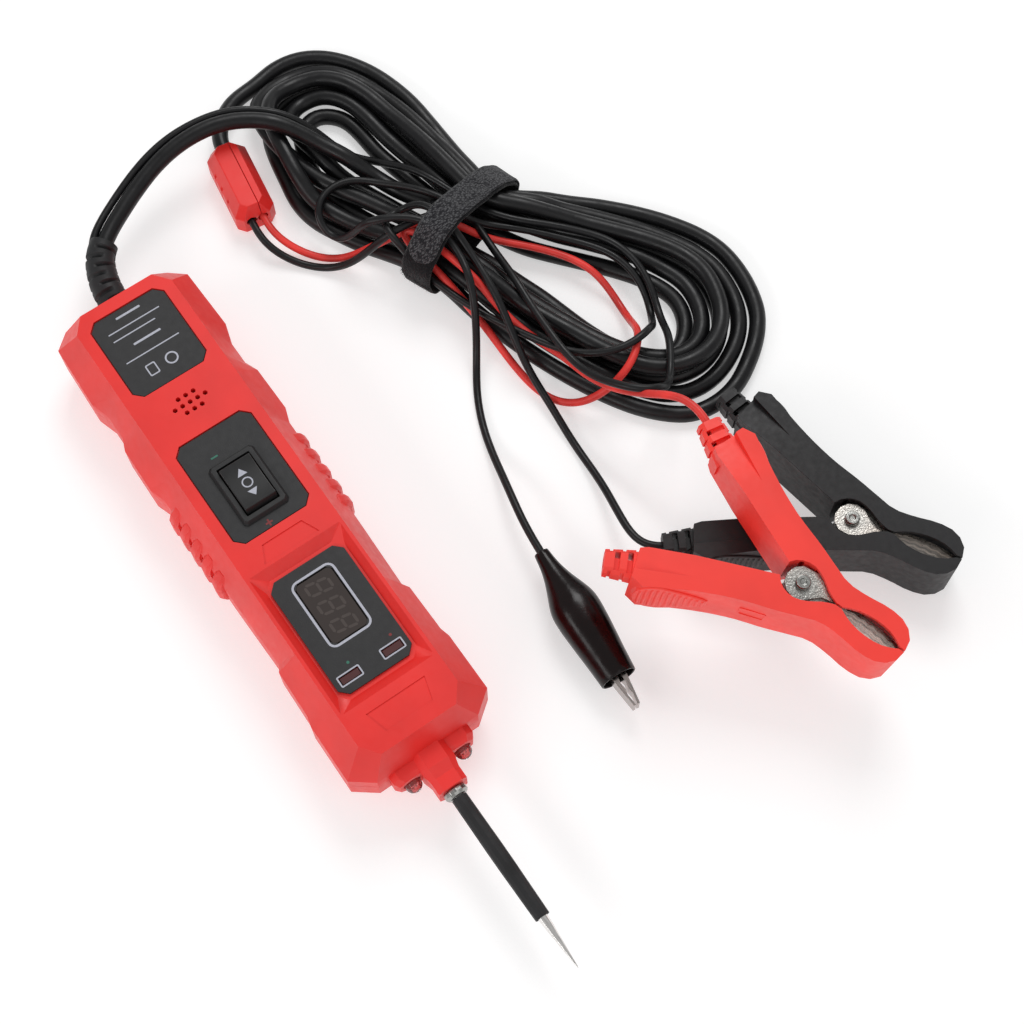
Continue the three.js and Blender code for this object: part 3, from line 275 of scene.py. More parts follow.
materials = {
    "housing_red": moulded("housing_red", RED_PLASTIC, 0.4),
    "plate_black": moulded("plate_black", PLATE_BLACK, 0.55, grain=0.3 * MM, depth=0.03 * MM, wear=0.1),
    "switch_black": moulded("switch_black", shade(PLATE_BLACK, 0.55), 0.4, grain=0.2 * MM,
                            depth=0.006 * MM, wear=0.15),
    "bezel_black": moulded("bezel_black", shade(PLATE_BLACK, 0.8), 0.5, grain=0.3 * MM, depth=0.02 * MM,
                           wear=0.1),
    "clamp_red": moulded("clamp_red", CLAMP_RED, 0.45),
    "clamp_black": moulded("clamp_black", CLAMP_BLACK, 0.5, grain=0.3 * MM, depth=0.02 * MM, wear=0.12,
                           shine=0.36),
    "cable_black": vinyl("cable_black", CABLE_BLACK, 0.36),
    "wire_red": vinyl("wire_red", WIRE_RED, 0.38),
    "boot_black": vinyl("boot_black", (0.005, 0.002, 0.002), 0.2, shine=0.24),
    "sleeve_black": vinyl("sleeve_black", (0.014, 0.014, 0.015), 0.55),
    "jaw_steel": plated("jaw_steel", ZINC, 0.24),
    # The clip's steel is darkened and tinted brownish red: a painted red reflection laid over the steel's own
    # grey.
    "clip_steel_painted_reflection": plated("clip_steel_painted_reflection", (0.42, 0.37, 0.35), 0.22),
    "nickel": plated("nickel", NICKEL, 0.16),
    "display_glass": clear("display_glass", (0.043, 0.033, 0.03), 0.08, 0),
    "led_red": clear("led_red", (0.085, 0.03, 0.03), 0.15, 0),
    "lamp_clear": clear("lamp_clear", (0.97, 0.9, 0.9), 0.02, 0.96),
    "board_green": circuit_board_green("board_green"),
    "splice_brass": plated("splice_brass", (0.62, 0.42, 0.14), 0.3),
    "strap_fabric": hook_and_loop("strap_fabric", (0.006, 0.006, 0.007), (0.11, 0.11, 0.115)),
    "strap_back": hook_and_loop("strap_back", (0.003, 0.003, 0.0035), (0.016, 0.016, 0.017)),
    "print_white": printed("print_white", PRINT_WHITE),
    "print_red": printed("print_red", (0.2, 0.02, 0.02)),
    "print_green": printed("print_green", (0.03, 0.16, 0.11)),
    "segment_grey": clear("segment_grey", (0.072, 0.058, 0.053), 0.1, 0),
}


# ---------------------------------------------------------------- mesh helpers
def link(name, mesh, material, body, smooth=True):
    """A new piece that rides on a body, in the material that `material` names."""
    piece = bpy.data.objects.new(name, mesh)
    bpy.context.scene.collection.objects.link(piece)
    mesh.materials.append(materials[material])
    if smooth:
        mesh.polygons.foreach_set("use_smooth", [True] * len(mesh.polygons))
    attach(piece, body)
    return piece


def to_mesh(name, bm):
    """The finished mesh, with its faces turned outwards."""
    bmesh.ops.recalc_face_normals(bm, faces=bm.faces)
    mesh = bpy.data.meshes.new(name)
    bm.to_mesh(mesh)
    bm.free()
    return mesh


def bridge(bm, lower, upper):
    """Faces between two rings of the same length."""
    count = len(lower)
    for i in range(count):
        j = (i + 1) % count
        bm.faces.new((lower[i], lower[j], upper[j], upper[i]))


def skin_over(bm, rings, capped=True):
    """A skin over a row of rings, closed at both ends by a flat face."""
    for lower, upper in zip(rings, rings[1:]):
        bridge(bm, lower, upper)
    if capped:
        bm.faces.new(rings[0][::-1])
        bm.faces.new(rings[-1])


def welded(node):
    """A CAD node's mesh with its split vertices merged, as a bmesh."""
    bm = bmesh.new()
    bm.from_mesh(frame["nodes"][node].data)
    bmesh.ops.remove_doubles(bm, verts=bm.verts, dist=WELD)
    bm.verts.ensure_lookup_table()
    return bm


def soften(piece, width, segments=2, angle=28):
    """Small rounds on every hard edge."""
    bevel = piece.modifiers.new("rounds", "BEVEL")
    bevel.width = width
    bevel.segments = segments
    bevel.limit_method = "ANGLE"
    bevel.angle_limit = math.radians(angle)
    normals = piece.modifiers.new("normals", "WEIGHTED_NORMAL")
    normals.keep_sharp = False


def dress(node, material, width=0.25 * MM, segments=2):
    """Gives a CAD node its material, and rounds the edges of what is shown of it."""
    piece = frame["nodes"][node]
    piece.data.materials.clear()
    piece.data.materials.append(materials[material])
    for layer in [a.name for a in piece.data.attributes if a.name == "custom_normal"]:
        piece.data.attributes.remove(piece.data.attributes[layer])
    piece.data.polygons.foreach_set("use_smooth", [True] * len(piece.data.polygons))
    weld = piece.modifiers.new("weld", "WELD")
    weld.merge_threshold = WELD
    flat = piece.modifiers.new("flat faces", "DECIMATE")
    flat.decimate_type = "DISSOLVE"
    flat.angle_limit = math.radians(0.4)
    soften(piece, width, segments)
    return piece


def smooth_copy(node, name, material):
    """A subdivision surface that stands for a CAD node of few, large faces. Sharp edges stay crisp."""
    bm = welded(node)
    bmesh.ops.join_triangles(bm, faces=bm.faces, angle_face_threshold=math.radians(25),
                             angle_shape_threshold=math.radians(60))
    crease = bm.edges.layers.float.new("crease_edge")
    for edge in bm.edges:
        if len(edge.link_faces) == 2 and edge.calc_face_angle() > math.radians(60):
            edge[crease] = 0.75
    piece = link(name, to_mesh(name, bm), material, body_of(node))
    subdivision = piece.modifiers.new("smooth", "SUBSURF")
    subdivision.levels = 2
    subdivision.render_levels = 2
    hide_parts(node)


def body_of(node):
    bodies = frame["record"]["behaviour"]["bodies"]
    return next(body for body, nodes in bodies.items() if node in nodes)


def surface_of(node):
    """The height of a node's upper surface at a place."""
    bm = welded(node)
    tree = BVHTree.FromBMesh(bm)
    bm.free()

    def height(x, y):
        return tree.ray_cast(Vector((x, y, 1)), Vector((0, 0, -1)))[0].z

    return height


# ---------------------------------------------------------------- printed marks
def rounded_loop(half_x, half_y, corner, steps=5):
    """A rectangle with round corners about the origin, counter-clockwise."""
    points = []
    for quarter, (sx, sy) in enumerate(((1, 1), (-1, 1), (-1, -1), (1, -1))):
        for i in range(steps + 1):
            a = math.radians(90 * (quarter + i / steps))
            points.append((sx * (half_x - corner) + corner * math.cos(a),
                           sy * (half_y - corner) + corner * math.sin(a)))
    return points


def circle_loop(radius, steps=32):
    return [(radius * math.cos(math.tau * i / steps), radius * math.sin(math.tau * i / steps))
            for i in range(steps)]


def print_mark(name, outer, inner, centre, height, body, material, thick=PRINT_THICK):
    """Ink between two loops, or inside one, that follows the surface `height` below it."""
    bm = bmesh.new()

    def ring(loop, lift):
        verts = []
        for x, y in loop:
            px, py = centre[0] + x, centre[1] + y
            verts.append(bm.verts.new((px, py, height(px, py) + lift)))
        return verts

    sink = -0.1 * MM
    outer_top = ring(outer, thick)
    outer_low = ring(outer, sink)
    bridge(bm, outer_low, outer_top)
    if inner:
        inner_top = ring(inner, thick)
        inner_low = ring(inner, sink)
        bridge(bm, outer_top, inner_top)
        bridge(bm, inner_top, inner_low)
        bridge(bm, inner_low, outer_low)
    else:
        bm.faces.new(outer_top)
        bm.faces.new(outer_low)
    return link(name, to_mesh(name, bm), material, body, smooth=False)


def flat_at(level):
    """The height of a flat face, in the form that print_mark takes."""
    return lambda x, y: level


def middle_of(node):
    low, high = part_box(node)
    return (low.x + high.x) / 2, (low.y + high.y) / 2


def half_size_of(node):
    low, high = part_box(node)
    return (high.x - low.x) / 2, (high.y - low.y) / 2


def print_on_face(name, outer, inner, centre, level, material, thick=PRINT_THICK):
    """Ink on one of the housing's flat black plates."""
    print_mark(name, outer, inner, centre, flat_at(level), ROOT, material, thick)


def make_face_prints():
    """The outlines round the display window and the two polarity lamps, with a red dot beside the positive lamp
    and a green one beside the negative.
    """
    half = half_size_of("display_window")
    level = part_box("display_plate")[1].z
    line = 0.7 * MM
    gap = 0.45 * MM
    outer = rounded_loop(half[0] + gap + line, half[1] + gap + line, 2.4 * MM)
    inner = rounded_loop(half[0] + gap, half[1] + gap, 1.6 * MM)
    print_on_face("window_outline", outer, inner, middle_of("display_window"), level, "print_white")
    margin = 0.3 * MM
    for lamp, dot in (("positive_led", "print_red"), ("negative_led", "print_green")):
        centre = middle_of(lamp)
        half = [size + margin for size in half_size_of(lamp)]
        line = 0.42 * MM
        outer = rounded_loop(half[0] + line, half[1] + line, 0.5 * MM)
        inner = rounded_loop(half[0], half[1], 0.1 * MM)
        print_on_face(lamp + "_outline", outer, inner, centre, level, "print_white")
        beside = (centre[0] - 3.6 * MM, centre[1] + 1.6 * MM)
        print_on_face(lamp + "_dot", circle_loop(0.45 * MM, 16), None, beside, level, dot)


def make_polarity_marks():
    """The minus behind the switch and the plus in front of it."""
    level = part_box("switch_plate")[1].z
    low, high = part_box("switch_bezel")
    bar = (0.28 * MM, 1.1 * MM)
    minus = (low.x - 2.4 * MM, -3.4 * MM)
    plus = (high.x + 2.2 * MM, -1.2 * MM)
    upright = rounded_loop(*bar, 0.1 * MM)
    across = rounded_loop(bar[1], bar[0], 0.1 * MM)
    print_on_face("minus_mark", upright, None, minus, level, "print_green")
    print_on_face("plus_mark_upright", upright, None, plus, level, "print_red")
    print_on_face("plus_mark_across", across, None, plus, level, "print_red", PRINT_THICK * 1.2)


def make_label_rules():
    """Plain rules and outlines on the label plate, which carry no words."""
    low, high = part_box("label_plate")
    level = high.z
    # distance from the plate's rear edge, offset from its middle and length, in millimetres
    rules = [(2.4, 0, 8), (5.9, 0, 17), (8.6, -1.4, 14), (12.4, 0.6, 9), (16.6, 0, 17.6)]
    bold = (0, 3)
    for i, (behind, y, length) in enumerate(rules):
        thick = 0.7 * MM if i in bold else 0.38 * MM
        loop = rounded_loop(thick / 2, length * MM / 2, thick * 0.4)
        centre = (low.x + behind * MM, y * MM)
        print_on_face(f"label_rule_{i + 1}", loop, None, centre, level, "print_white")
    x = high.x - 6.2 * MM
    square = rounded_loop(2 * MM, 1.6 * MM, 0.5 * MM)
    square_hole = rounded_loop(1.6 * MM, 1.2 * MM, 0.3 * MM)
    print_on_face("label_square", square, square_hole, (x, -3.4 * MM), level, "print_white")
    print_on_face("label_ring", circle_loop(2 * MM), circle_loop(1.5 * MM), (x, 3 * MM), level, "print_white")


def make_rocker_marks():
    """A ring in the middle of the button and an arrowhead towards each end."""
    centre = middle_of("rocker_button")
    height = surface_of("rocker_button")
    print_mark("rocker_ring", circle_loop(1.65 * MM), circle_loop(1.25 * MM), centre, height, "rocker",
               "print_white")
    for side in (1, -1):
        near = side * 2.5 * MM
        far = side * 4.7 * MM
        half = 1.55 * MM
        loop = [(near, -side * half), (far, 0), (near, side * half)]
        dense = []
        for (ax, ay), (bx, by) in zip(loop, loop[1:] + loop[:1]):
            dense += [(ax + (bx - ax) * t / 4, ay + (by - ay) * t / 4) for t in range(4)]
        name = "rocker_arrow_front" if side == 1 else "rocker_arrow_rear"
        print_mark(name, dense, None, centre, height, "rocker", "print_white")


# ---------------------------------------------------------------- display
def make_digits():
    """Three unlit seven-segment digits, flush with the window's face and slanted as such displays are."""
    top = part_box("display_window")[1].z + 0.02 * MM
    centre_x = middle_of("display_window")[0]
    pitch = 6.3 * MM
    half_w = 1.75 * MM
    half_h = 3.4 * MM
    slant = 0.16
    thick = 0.42 * MM
    bm = bmesh.new()

    def segment(x0, y0, x1, y1, shift):
        """A bar with pointed ends between two places of the digit."""
        along = Vector((x1 - x0, y1 - y0))
        side = Vector((-along.y, along.x)).normalized() * thick
        step = along.normalized() * thick
        start = Vector((x0, y0)) + step * 0.5
        end = Vector((x1, y1)) - step * 0.5
        outline = [start, start + step + side, end - step + side, end, end - step - side, start + step - side]
        rings = []
        for z in (top - 0.12 * MM, top):
            rings.append([bm.verts.new((shift + p.x + slant * p.y, p.y, z)) for p in outline])
        skin_over(bm, rings)

    for k in (-1, 0, 1):
        shift = centre_x + k * pitch
        for y in (-half_h, 0, half_h):
            segment(-half_w, y, half_w, y, shift)
        for x in (-half_w, half_w):
            segment(x, -half_h, x, 0, shift)
            segment(x, 0, x, half_h, shift)
    link("display_digits", to_mesh("display_digits", bm), "segment_grey", ROOT, smooth=False)


def make_window():
    """The display's dark tinted window, with round corners."""
    low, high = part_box("display_window")
    centre = middle_of("display_window")
    half = half_size_of("display_window")
    rings = []
    bm = bmesh.new()
    for z, inset in ((low.z, 0), (high.z - 0.1 * MM, 0), (high.z, 0.1 * MM)):
        loop = rounded_loop(half[0] - inset, half[1] - inset, 1.4 * MM)
        rings.append([bm.verts.new((centre[0] + x, centre[1] + y, z)) for x, y in loop])
    skin_over(bm, rings)
    window = link("display_window_sheet", to_mesh("display_window_sheet", bm), "display_glass", ROOT,
                  smooth=False)
    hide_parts("display_window")


# ---------------------------------------------------------------- cables
def centreline(node, sides):
    """The middle of each ring of a CAD cable, from one end to the other."""
    bm = welded(node)

    def layers(start):
        seen = set(start)
        found = [list(start)]
        while found[-1]:
            following = []
            for vert in found[-1]:
                for edge in vert.link_edges:
                    other = edge.other_vert(vert)
                    if other not in seen:
                        seen.add(other)
                        following.append(other)
            found.append(following)
        return found[:-1]

    tip = layers([bm.verts[0]])[-1][0]
    near = [v for layer in layers([tip])[:4] for v in layer]
    near.sort(key=lambda v: (v.co - tip.co).length)
    rings = layers(near[:sides])
    middles = [sum((v.co for v in ring), Vector()) / len(ring) for ring in rings]
    bm.free()
    return middles


def smooth_path(points, spacing, relax, crest=0):
    """A Catmull-Rom curve through the points, resampled and relaxed.

    Its crests are first made `crest` steps longer on both sides, so that a wire clears what it crosses.
    """
    padded = [points[0] * 2 - points[1], *points, points[-1] * 2 - points[-2]]
    fine = []
    for a, b, c, d in zip(padded, padded[1:], padded[2:], padded[3:]):
        steps = max(2, round((c - b).length / spacing))
        for i in range(steps):
            t = i / steps
            fine.append(0.5 * (2 * b + (c - a) * t + (2 * a - 5 * b + 4 * c - d) * t * t
                               + (3 * b - a - 3 * c + d) * t ** 3))
    fine.append(points[-1].copy())
    heights = [p.z for p in fine]
    ends = 3 * crest
    for i in range(ends, len(fine) - ends):
        fine[i].z = max(heights[i - crest:i + crest + 1])
    for _ in range(relax):
        inner = [(p + 2 * q + r) / 4 for p, q, r in zip(fine, fine[1:], fine[2:])]
        fine = [fine[0], *inner, fine[-1]]
    return fine


def sweep(name, path, radius, sides=14):
    """A tube along a path, closed at both ends. `radius` may depend on the distance and the angle."""
    bm = bmesh.new()
    rings = []
    normal = None
    travelled = 0.0
    for i, point in enumerate(path):
        ahead = path[min(i + 1, len(path) - 1)]
        behind = path[max(i - 1, 0)]
        tangent = (ahead - behind).normalized()
        if normal is None:
            normal = tangent.orthogonal().normalized()
        normal = (normal - tangent * normal.dot(tangent)).normalized()
        across = tangent.cross(normal)
        travelled += (point - path[max(i - 1, 0)]).length
        ring = []
        for k in range(sides):
            a = math.tau * k / sides
            r = radius(travelled, a) if callable(radius) else radius
            ring.append(bm.verts.new(point + normal * (r * math.cos(a)) + across * (r * math.sin(a))))
        rings.append(ring)
    skin_over(bm, rings)
    return to_mesh(name, bm)


def make_strain_relief():
    """The ribbed sleeve on the lead where it leaves the housing, with slots on alternate sides."""
    low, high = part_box("strain_relief")
    path = smooth_path(centreline("main_cable", 6), 0.22 * MM, 3)
    path = [p for p in path[::-1] if low.x - 0.2 * MM < p.x < high.x and p.y < high.y]
    flange = 1.6 * MM
    pitch = 3.0 * MM
    first = 4.6 * MM
    length = sum((b - a).length for a, b in zip(path, path[1:]))

    def radius(travelled, angle):
        taper = 5.1 - 0.8 * travelled / length
        if travelled < flange:
            return 5.6 * MM
        if travelled < first or travelled > length - 1.8 * MM:
            return taper * MM
        place = (travelled - first) / pitch
        in_slot = place % 1 < 0.4
        bridge = abs(math.cos(angle + (math.pi / 2 if int(place) % 2 else 0))) > 0.86
        return (taper if bridge or not in_slot else taper - 1.4) * MM

    skin = link("strain_relief_skin", sweep("strain_relief_skin", path, radius, 40), "sleeve_black", ROOT)
    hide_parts("strain_relief")


def from_sleeve(points):
    """The points of the auxiliary wire, started inside the strain relief that it leaves."""
    entry = Vector((-97 * MM, 1.6 * MM, 15 * MM))
    if (points[0] - entry).length > (points[-1] - entry).length:
        points = points[::-1]
    return [entry, *points]


def make_cables():
    plans = [
        ("main_cable", 6, MAIN_CABLE_R, "cable_black", 1.6 * MM, 3, 0),
        ("red_wire", 5, WIRE_R, "wire_red", 1.1 * MM, 45, 4),
        ("black_wire", 5, WIRE_R, "cable_black", 1.1 * MM, 45, 4),
        ("aux_wire", 5, WIRE_R, "cable_black", 1.1 * MM, 45, 4),
    ]
    for node, sides, radius, material, spacing, relax, crest in plans:
        points = centreline(node, sides)
        if node == "aux_wire":
            points = from_sleeve(points)
        path = smooth_path(points, spacing, relax, crest)
        name = node + "_jacket"
        piece = link(name, sweep(name, path, radius), material, ROOT)
        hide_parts(node)


# ---------------------------------------------------------------- strap
def convex_hull(points):
    """The hull of points in a plane, counter-clockwise."""
    ordered = sorted(set(points))

    def half(sequence):
        chain = []
        for p in sequence:
            while len(chain) > 1:
                (ax, ay), (bx, by) = chain[-2], chain[-1]
                if (bx - ax) * (p[1] - ay) - (by - ay) * (p[0] - ax) > 0:
                    break
                chain.pop()
            chain.append(p)
        return chain[:-1]

    return half(ordered) + half(ordered[::-1])


def even_loop(points, spacing):
    """A closed loop resampled to even steps, with its corners rounded."""
    sides = list(zip(points, points[1:] + points[:1]))
    length = sum(math.dist(a, b) for a, b in sides)
    count = round(length / spacing)
    even = []
    travelled = 0.0
    for a, b in sides:
        side = math.dist(a, b)
        while len(even) < count and len(even) * length / count <= travelled + side:
            t = (len(even) * length / count - travelled) / max(side, 1e-9)
            even.append(Vector(a).lerp(Vector(b), t))
        travelled += side
    for _ in range(14):
        even = [(even[i - 1] + 2 * even[i] + even[(i + 1) % count]) / 4 for i in range(count)]
    return even


def band(name, loop, first, last, lift, thick, half_width, to_world, round_tail=False):
    """Webbing that follows part of a loop, `lift` above it. It may end in a round tail."""
    count = len(loop)
    rows = 12
    bm = bmesh.new()
    rings = []
    for i in range(first, last + 1):
        here = loop[i % count]
        tangent = (loop[(i + 1) % count] - loop[i % count - 1]).normalized()
        outward = Vector((tangent.y, -tangent.x))
        reach = half_width
        if round_tail:
            left = (last - i) * STRAP_STEP
            if left < half_width:
                reach = max(0.3 * MM, math.sqrt(max(0.0, half_width ** 2 - (half_width - left) ** 2)))
        ring = []
        for side in (1, -1):
            for k in range(rows + 1):
                t = 2 * k / rows - 1
                u = side * t * reach
                rounding = 1 - max(0.0, abs(t) - 0.9) ** 2 * 60
                ripple = 0.12 * MM * math.sin(i * 0.55 + t * 2)
                out = lift + thick / 2 + side * thick / 2 * rounding + ripple
                p = here + outward * out
                ring.append(bm.verts.new(to_world(u, p.x, p.y)))
        rings.append(ring)
    skin_over(bm, rings, capped=last - first < count)
    bmesh.ops.remove_doubles(bm, verts=bm.verts, dist=1e-6)
    return to_mesh(name, bm)


def make_strap():
    """The hook-and-loop tie: a loop round the coil, and its tail, laid over the loop with a round end."""
    low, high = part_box("cable_strap")
    centre = Vector(((low.x + high.x) / 2, (low.y + high.y) / 2, 0))
    along = Vector((math.cos(COIL_YAW), math.sin(COIL_YAW), 0))
    across = Vector((-math.sin(COIL_YAW), math.cos(COIL_YAW), 0))
    bm = welded("cable_strap")
    flat = [((v.co - centre).dot(across), v.co.z) for v in bm.verts]
    bm.free()
    loop = even_loop(convex_hull(flat), STRAP_STEP)
    floor_gap = 0.15 * MM

    def to_world(u, v, z):
        return centre + along * u + across * v + Vector((0, 0, max(z, floor_gap)))

    count = len(loop)
    whole = band("strap_loop", loop, 0, count, -STRAP_THICK, STRAP_THICK, STRAP_HALF_WIDTH, to_world)
    piece = link("strap_loop", whole, "strap_back", ROOT)
    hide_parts("cable_strap")
    near_side = min(range(count), key=lambda i: loop[i].x)
    far_side = max(range(count), key=lambda i: loop[i].x)
    first = far_side - round(TAIL_START / STRAP_STEP)
    last = (near_side - far_side) % count + far_side - round(TAIL_SHORT_OF_BEND / STRAP_STEP)
    tail = band("strap_tail", loop, first, last, 0.1 * MM, STRAP_LAYER, STRAP_HALF_WIDTH * 0.9, to_world,
                round_tail=True)
    link("strap_tail", tail, "strap_fabric", ROOT)
    make_fuzz(loop[near_side], to_world)


def make_fuzz(bend, to_world):
    """Loose fibres along the edge of the strap where it turns under the coil."""
    chance = random.Random(7)
    bm = bmesh.new()
    radius = 0.05 * MM
    fibres = 150
    for _ in range(fibres):
        u = chance.uniform(-1, 1) * STRAP_HALF_WIDTH
        height = bend.y + chance.uniform(-3.5, 1.5) * MM
        length = chance.uniform(0.5, 1.5) * MM
        drift = chance.uniform(-0.6, 0.6) * MM
        rise = chance.uniform(-0.5, 0.4) * MM
        rings = []
        for t in (0, 0.5, 1):
            v = bend.x + 0.3 * MM - t * length
            place = to_world(u + drift * t, v, height + rise * t * t)
            ring = []
            for k in range(3):
                a = math.tau * k / 3
                offset = Vector((math.cos(a), 0, math.sin(a))) * (radius * (1 - 0.6 * t))
                ring.append(bm.verts.new(place + offset))
            rings.append(ring)
        skin_over(bm, rings)
    link("strap_fuzz", to_mesh("strap_fuzz", bm), "strap_fabric", ROOT)


# ---------------------------------------------------------------- clamps
def clamp_frame(colour):
    """The clamp's own axes: origin on the rivet, x to the jaw tip, y across, z through the thickness."""
    joint = next(j for j in frame["joints"] if j["name"] == colour + "_clamp_open")
    pose = CLAMPS[colour]
    yaw = Matrix.Rotation(math.radians(pose["yaw"]), 4, "Z")
    pitch = Matrix.Rotation(math.radians(pose["pitch"]), 4, "Y")
    return Matrix.Translation(Vector(joint["pos_m"])) @ yaw @ pitch


def half_round_bar(bm, place, along, reach, rise, radius):
    """A bar with a half-round section and sloping ends, `reach` long on each side of its middle."""
    side = Vector((0, 0, 1))
    rings = []
    for t, scale in ((-1, 0.05), (-0.9, 0.75), (-0.78, 1), (0.78, 1), (0.9, 0.75), (1, 0.05)):
        ring = []
        for k in range(7):
            a = math.pi * k / 6
            lift = radius * scale * math.sin(a) - 0.15 * MM
            middle = place + side * (t * reach)
            ring.append(bm.verts.new(middle + along * (radius * math.cos(a)) + rise * lift))
        rings.append(ring)
    skin_over(bm, rings)


def pad_half_width(t):
    """Half the thumb pad's width: narrow towards the rivet (t = 0), full, and round at the handle's end."""
    grown = 2.2 + 6.6 * min(1.0, t / 0.62) ** 0.8
    rounded = math.sqrt(max(0.0, 1 - max(0.0, (t - 0.7) / 0.3) ** 2))
    return grown * rounded * MM


def make_thumb_pad(colour, side, body):
    """The raised D-shaped pad on a handle's outer wall, with its row of half-round ribs."""
    matrix = clamp_frame(colour)
    start = Vector((-18.2 * MM, side * 18.05 * MM, 0))
    end = Vector((-36.3 * MM, side * 28.45 * MM, 0))
    along = (end - start).normalized()
    length = (end - start).length
    outward = Vector((-along.y, along.x, 0)) * -side
    steps = 24
    rise = 0.55 * MM
    bm = bmesh.new()
    edge = [(t, pad_half_width(t)) for t in (i / steps for i in range(steps + 1))]
    outline = [(t * length, w) for t, w in edge] + [(t * length, -w) for t, w in edge[-2::-1]]
    rings = []
    for inset, lift in ((0, -1.2 * MM), (0, rise * 0.5), (0.35 * MM, rise)):
        ring = []
        for u, w in outline:
            narrowed = math.copysign(max(0.0, abs(w) - inset), w)
            inside = min(max(u, inset), length - inset)
            ring.append(bm.verts.new(start + along * inside + Vector((0, 0, narrowed)) + outward * lift))
        rings.append(ring)
    skin_over(bm, rings)
    ribs = 12
    for i in range(ribs):
        t = 0.06 + 0.84 * i / (ribs - 1)
        middle = start + along * (t * length) + outward * rise
        half_round_bar(bm, middle, along, pad_half_width(t) - 0.9 * MM, outward, 0.5 * MM)
    bmesh.ops.transform(bm, matrix=matrix, verts=bm.verts)
    name = f"{colour}_thumb_pad_{'upper' if side == 1 else 'lower'}"
    link(name, to_mesh(name, bm), "clamp_" + colour, body, smooth=False)


def make_handle_badge(colour, side, body):
    """The plain sunk outline on a handle's outer wall beside the rivet."""
    matrix = clamp_frame(colour)
    start = Vector((-11.0 * MM, side * 14.8 * MM, 0))
    end = Vector((-2.0 * MM, side * 11.6 * MM, 0))
    along = (end - start).normalized()
    outward = Vector((0, 0, side)).cross(along).normalized()
    middle = (start + end) / 2
    bm = bmesh.new()
    outer = rounded_loop(3.7 * MM, 2.6 * MM, 0.5 * MM)
    inner = rounded_loop(3.3 * MM, 2.2 * MM, 0.3 * MM)
    rings = []
    for loop, lift in ((outer, -0.1), (outer, 0.2), (inner, 0.2), (inner, -0.1)):
        ring = []
        for u, w in loop:
            place = middle + along * u + Vector((0, 0, w)) + outward * (lift * MM)
            ring.append(bm.verts.new(matrix @ place))
        rings.append(ring)
    skin_over(bm, [*rings, rings[0]], capped=False)
    name = f"{colour}_outline_{'upper' if side == 1 else 'lower'}"
    link(name, to_mesh(name, bm), "clamp_" + colour, body, smooth=False)


def make_clamps():
    for colour, pose in CLAMPS.items():
        moving = pose["moving_side"]
        for part in ("handle_fixed", "handle_moving"):
            dress(f"{colour}_{part}", "clamp_" + colour, 0.7 * MM, 3)
        for part in ("jaw_fixed", "jaw_moving"):
            jaw = dress(f"{colour}_{part}", "jaw_steel", 0.12 * MM)
            rivet = jaw.matrix_world.inverted() @ clamp_frame(colour).translation
            jaw.data.materials[0] = jaw_metal(f"{colour}_{part}_steel", rivet)
        dress(colour + "_rivet", "jaw_steel", 0.15 * MM, 3)
        dress(colour + "_spring", "jaw_steel", 0.1 * MM)
        for side in (1, -1):
            body = colour + "_clamp_half" if side == moving else ROOT
            make_thumb_pad(colour, side, body)
            make_handle_badge(colour, side, body)


# ---------------------------------------------------------------- the rest of the CAD nodes
def dress_housing():
    for node in ("front_cover", "rear_cover"):
        dress(node, "housing_red", 0.4 * MM, 3)
    for node in ("label_plate", "switch_plate", "display_plate"):
        dress(node, "plate_black", 0.12 * MM)
    for i in range(1, 5):
        dress(f"cover_screw_{i}", "jaw_steel", 0.1 * MM)
    dress("switch_bezel", "bezel_black", 0.12 * MM)
    dress("rocker_button", "switch_black", 0.3 * MM, 3)
    for node in ("positive_led", "negative_led"):
        dress(node, "led_red", 0.1 * MM)
    dress("display_module", "switch_black", 0.1 * MM)
    dress("circuit_board", "board_green", 0.1 * MM)
    dress("buzzer", "switch_black", 0.3 * MM)
    for node in ("junction_shell_left", "junction_shell_right"):
        dress(node, "housing_red", 0.4 * MM, 3)
    for node in ("splice_positive", "splice_negative"):
        dress(node, "splice_brass", 0.1 * MM)


def dress_probe():
    dress("probe_collar", "jaw_steel", 0.15 * MM, 3)
    for node, material in (("probe_needle", "nickel"), ("probe_sleeve", "sleeve_black")):
        dress(node, material, 0.1 * MM)
    for node in ("headlight_left", "headlight_right"):
        dress(node, "lamp_clear", 0.2 * MM, 3)


def dress_clip():
    smooth_copy("clip_boot", "clip_boot_skin", "boot_black")
    for node in ("clip_jaw_left", "clip_jaw_right"):
        dress(node, "clip_steel_painted_reflection", 0.15 * MM)
    dress("clip_pin", "jaw_steel", 0.1 * MM)


# ---------------------------------------------------------------- studio
def make_floor():
    """A sheet of white paper. Its faint glow keeps the background pale between the lamps' shadows."""
    bm = bmesh.new()
    half = 4.0
    bm.faces.new([bm.verts.new((x * half, y * half, 0)) for x, y in ((-1, -1), (1, -1), (1, 1), (-1, 1))])
    mesh = to_mesh("floor", bm)
    floor = bpy.data.objects.new("floor", mesh)
    bpy.context.scene.collection.objects.link(floor)
    g = Graph("floor_paper", 0.9)
    g.set("Base Color", g.blend(g.spread(g.noise(0.4), 0, 1), (0.6, 0.6, 0.6), (0.63, 0.63, 0.63)))
    g.set("Normal", g.bump(g.noise(1 * MM), 0.02 * MM))
    g.set("Emission Color", (1, 1, 1, 1))
    g.set("Emission Strength", 0.47)
    mesh.materials.append(g.material)


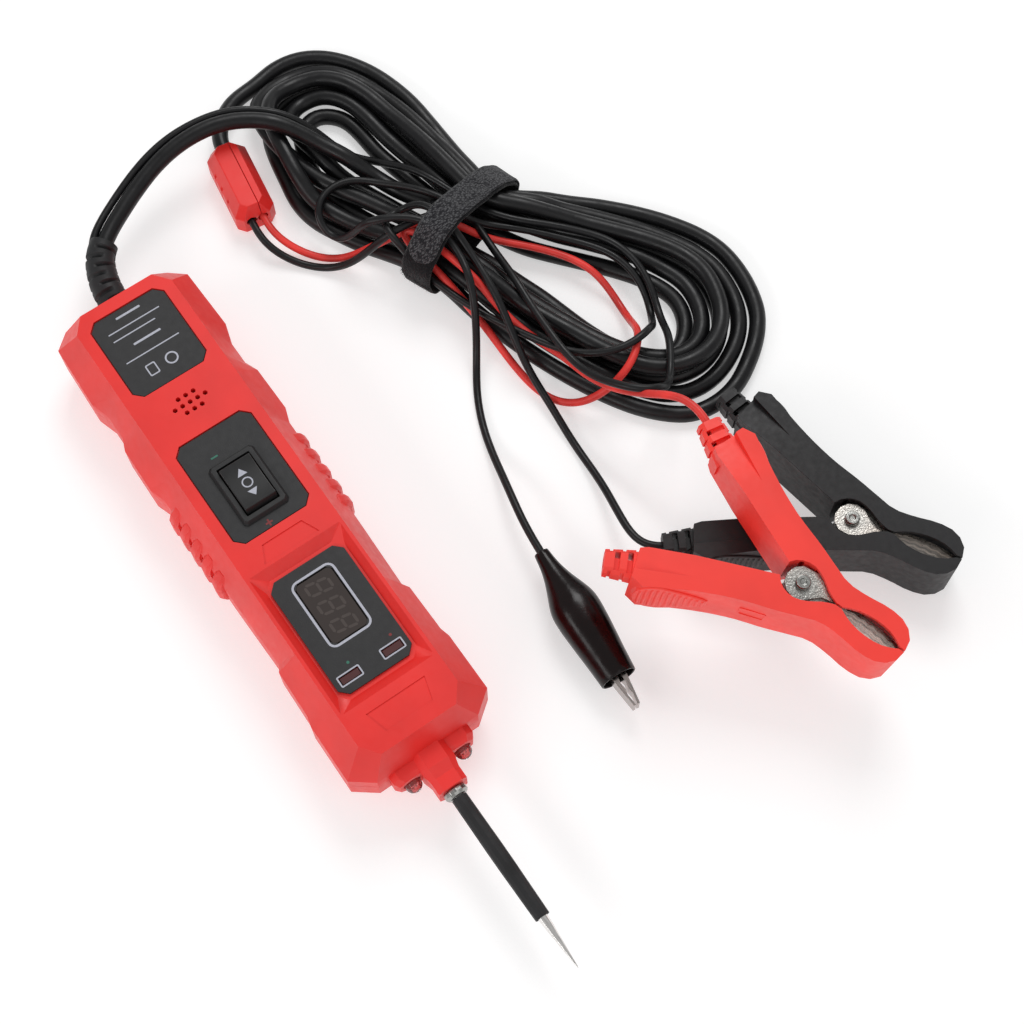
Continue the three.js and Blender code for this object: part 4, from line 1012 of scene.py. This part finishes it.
def add_light(name, place, aim, size, power):
    """A soft rectangular lamp at `place` that faces `aim`."""
    data = bpy.data.lights.new(name, "AREA")
    data.shape = "RECTANGLE"
    data.size, data.size_y = size
    data.energy = power
    light = bpy.data.objects.new(name, data)
    light.location = place
    light.rotation_euler = (Vector(aim) - Vector(place)).to_track_quat("-Z", "Y").to_euler()
    bpy.context.scene.collection.objects.link(light)


def make_lights():
    world = bpy.data.worlds.new("studio")
    world.use_nodes = True
    background = world.node_tree.nodes["Background"]
    background.inputs["Color"].default_value = (1, 1, 1, 1)
    background.inputs["Strength"].default_value = 0.46
    bpy.context.scene.world = world
    aim = (0.03, 0.06, 0)
    add_light("key", (-0.5, 0.55, 0.9), aim, (0.5, 0.5), 5)
    add_light("fill", (0.8, 0.1, 0.7), aim, (0.8, 0.8), 1.2)
    add_light("strip", (0.1, -0.8, 0.6), aim, (1.0, 0.25), 3.2)
    bpy.context.scene.view_settings.view_transform = "Standard"


def make_camera():
    """Looks down on the part from beside the probe."""
    azimuth = math.radians(CAMERA["azimuth"])
    elevation = math.radians(CAMERA["elevation"])
    roll = math.radians(CAMERA["roll"])
    back = Vector((math.sin(azimuth) * math.cos(elevation), -math.cos(azimuth) * math.cos(elevation),
                   math.sin(elevation)))
    right = Vector((math.cos(azimuth), math.sin(azimuth), 0))
    up = back.cross(right)
    right, up = (right * math.cos(roll) + up * math.sin(roll), up * math.cos(roll) - right * math.sin(roll))
    data = bpy.data.cameras.new("camera")
    data.lens = CAMERA["lens"]
    data.sensor_width = 36
    data.clip_start = 0.01
    camera = bpy.data.objects.new("camera", data)
    rotation = Matrix((right, up, back)).transposed().to_4x4()
    camera.matrix_world = Matrix.Translation(CAMERA["target"] + back * CAMERA["distance"]) @ rotation
    bpy.context.scene.collection.objects.link(camera)
    bpy.context.scene.camera = camera


dress_housing()
dress_probe()
dress_clip()
make_clamps()
make_strain_relief()
make_cables()
make_strap()
make_window()
make_digits()
make_face_prints()
make_polarity_marks()
make_label_rules()
make_rocker_marks()
make_floor()
make_lights()
make_camera()
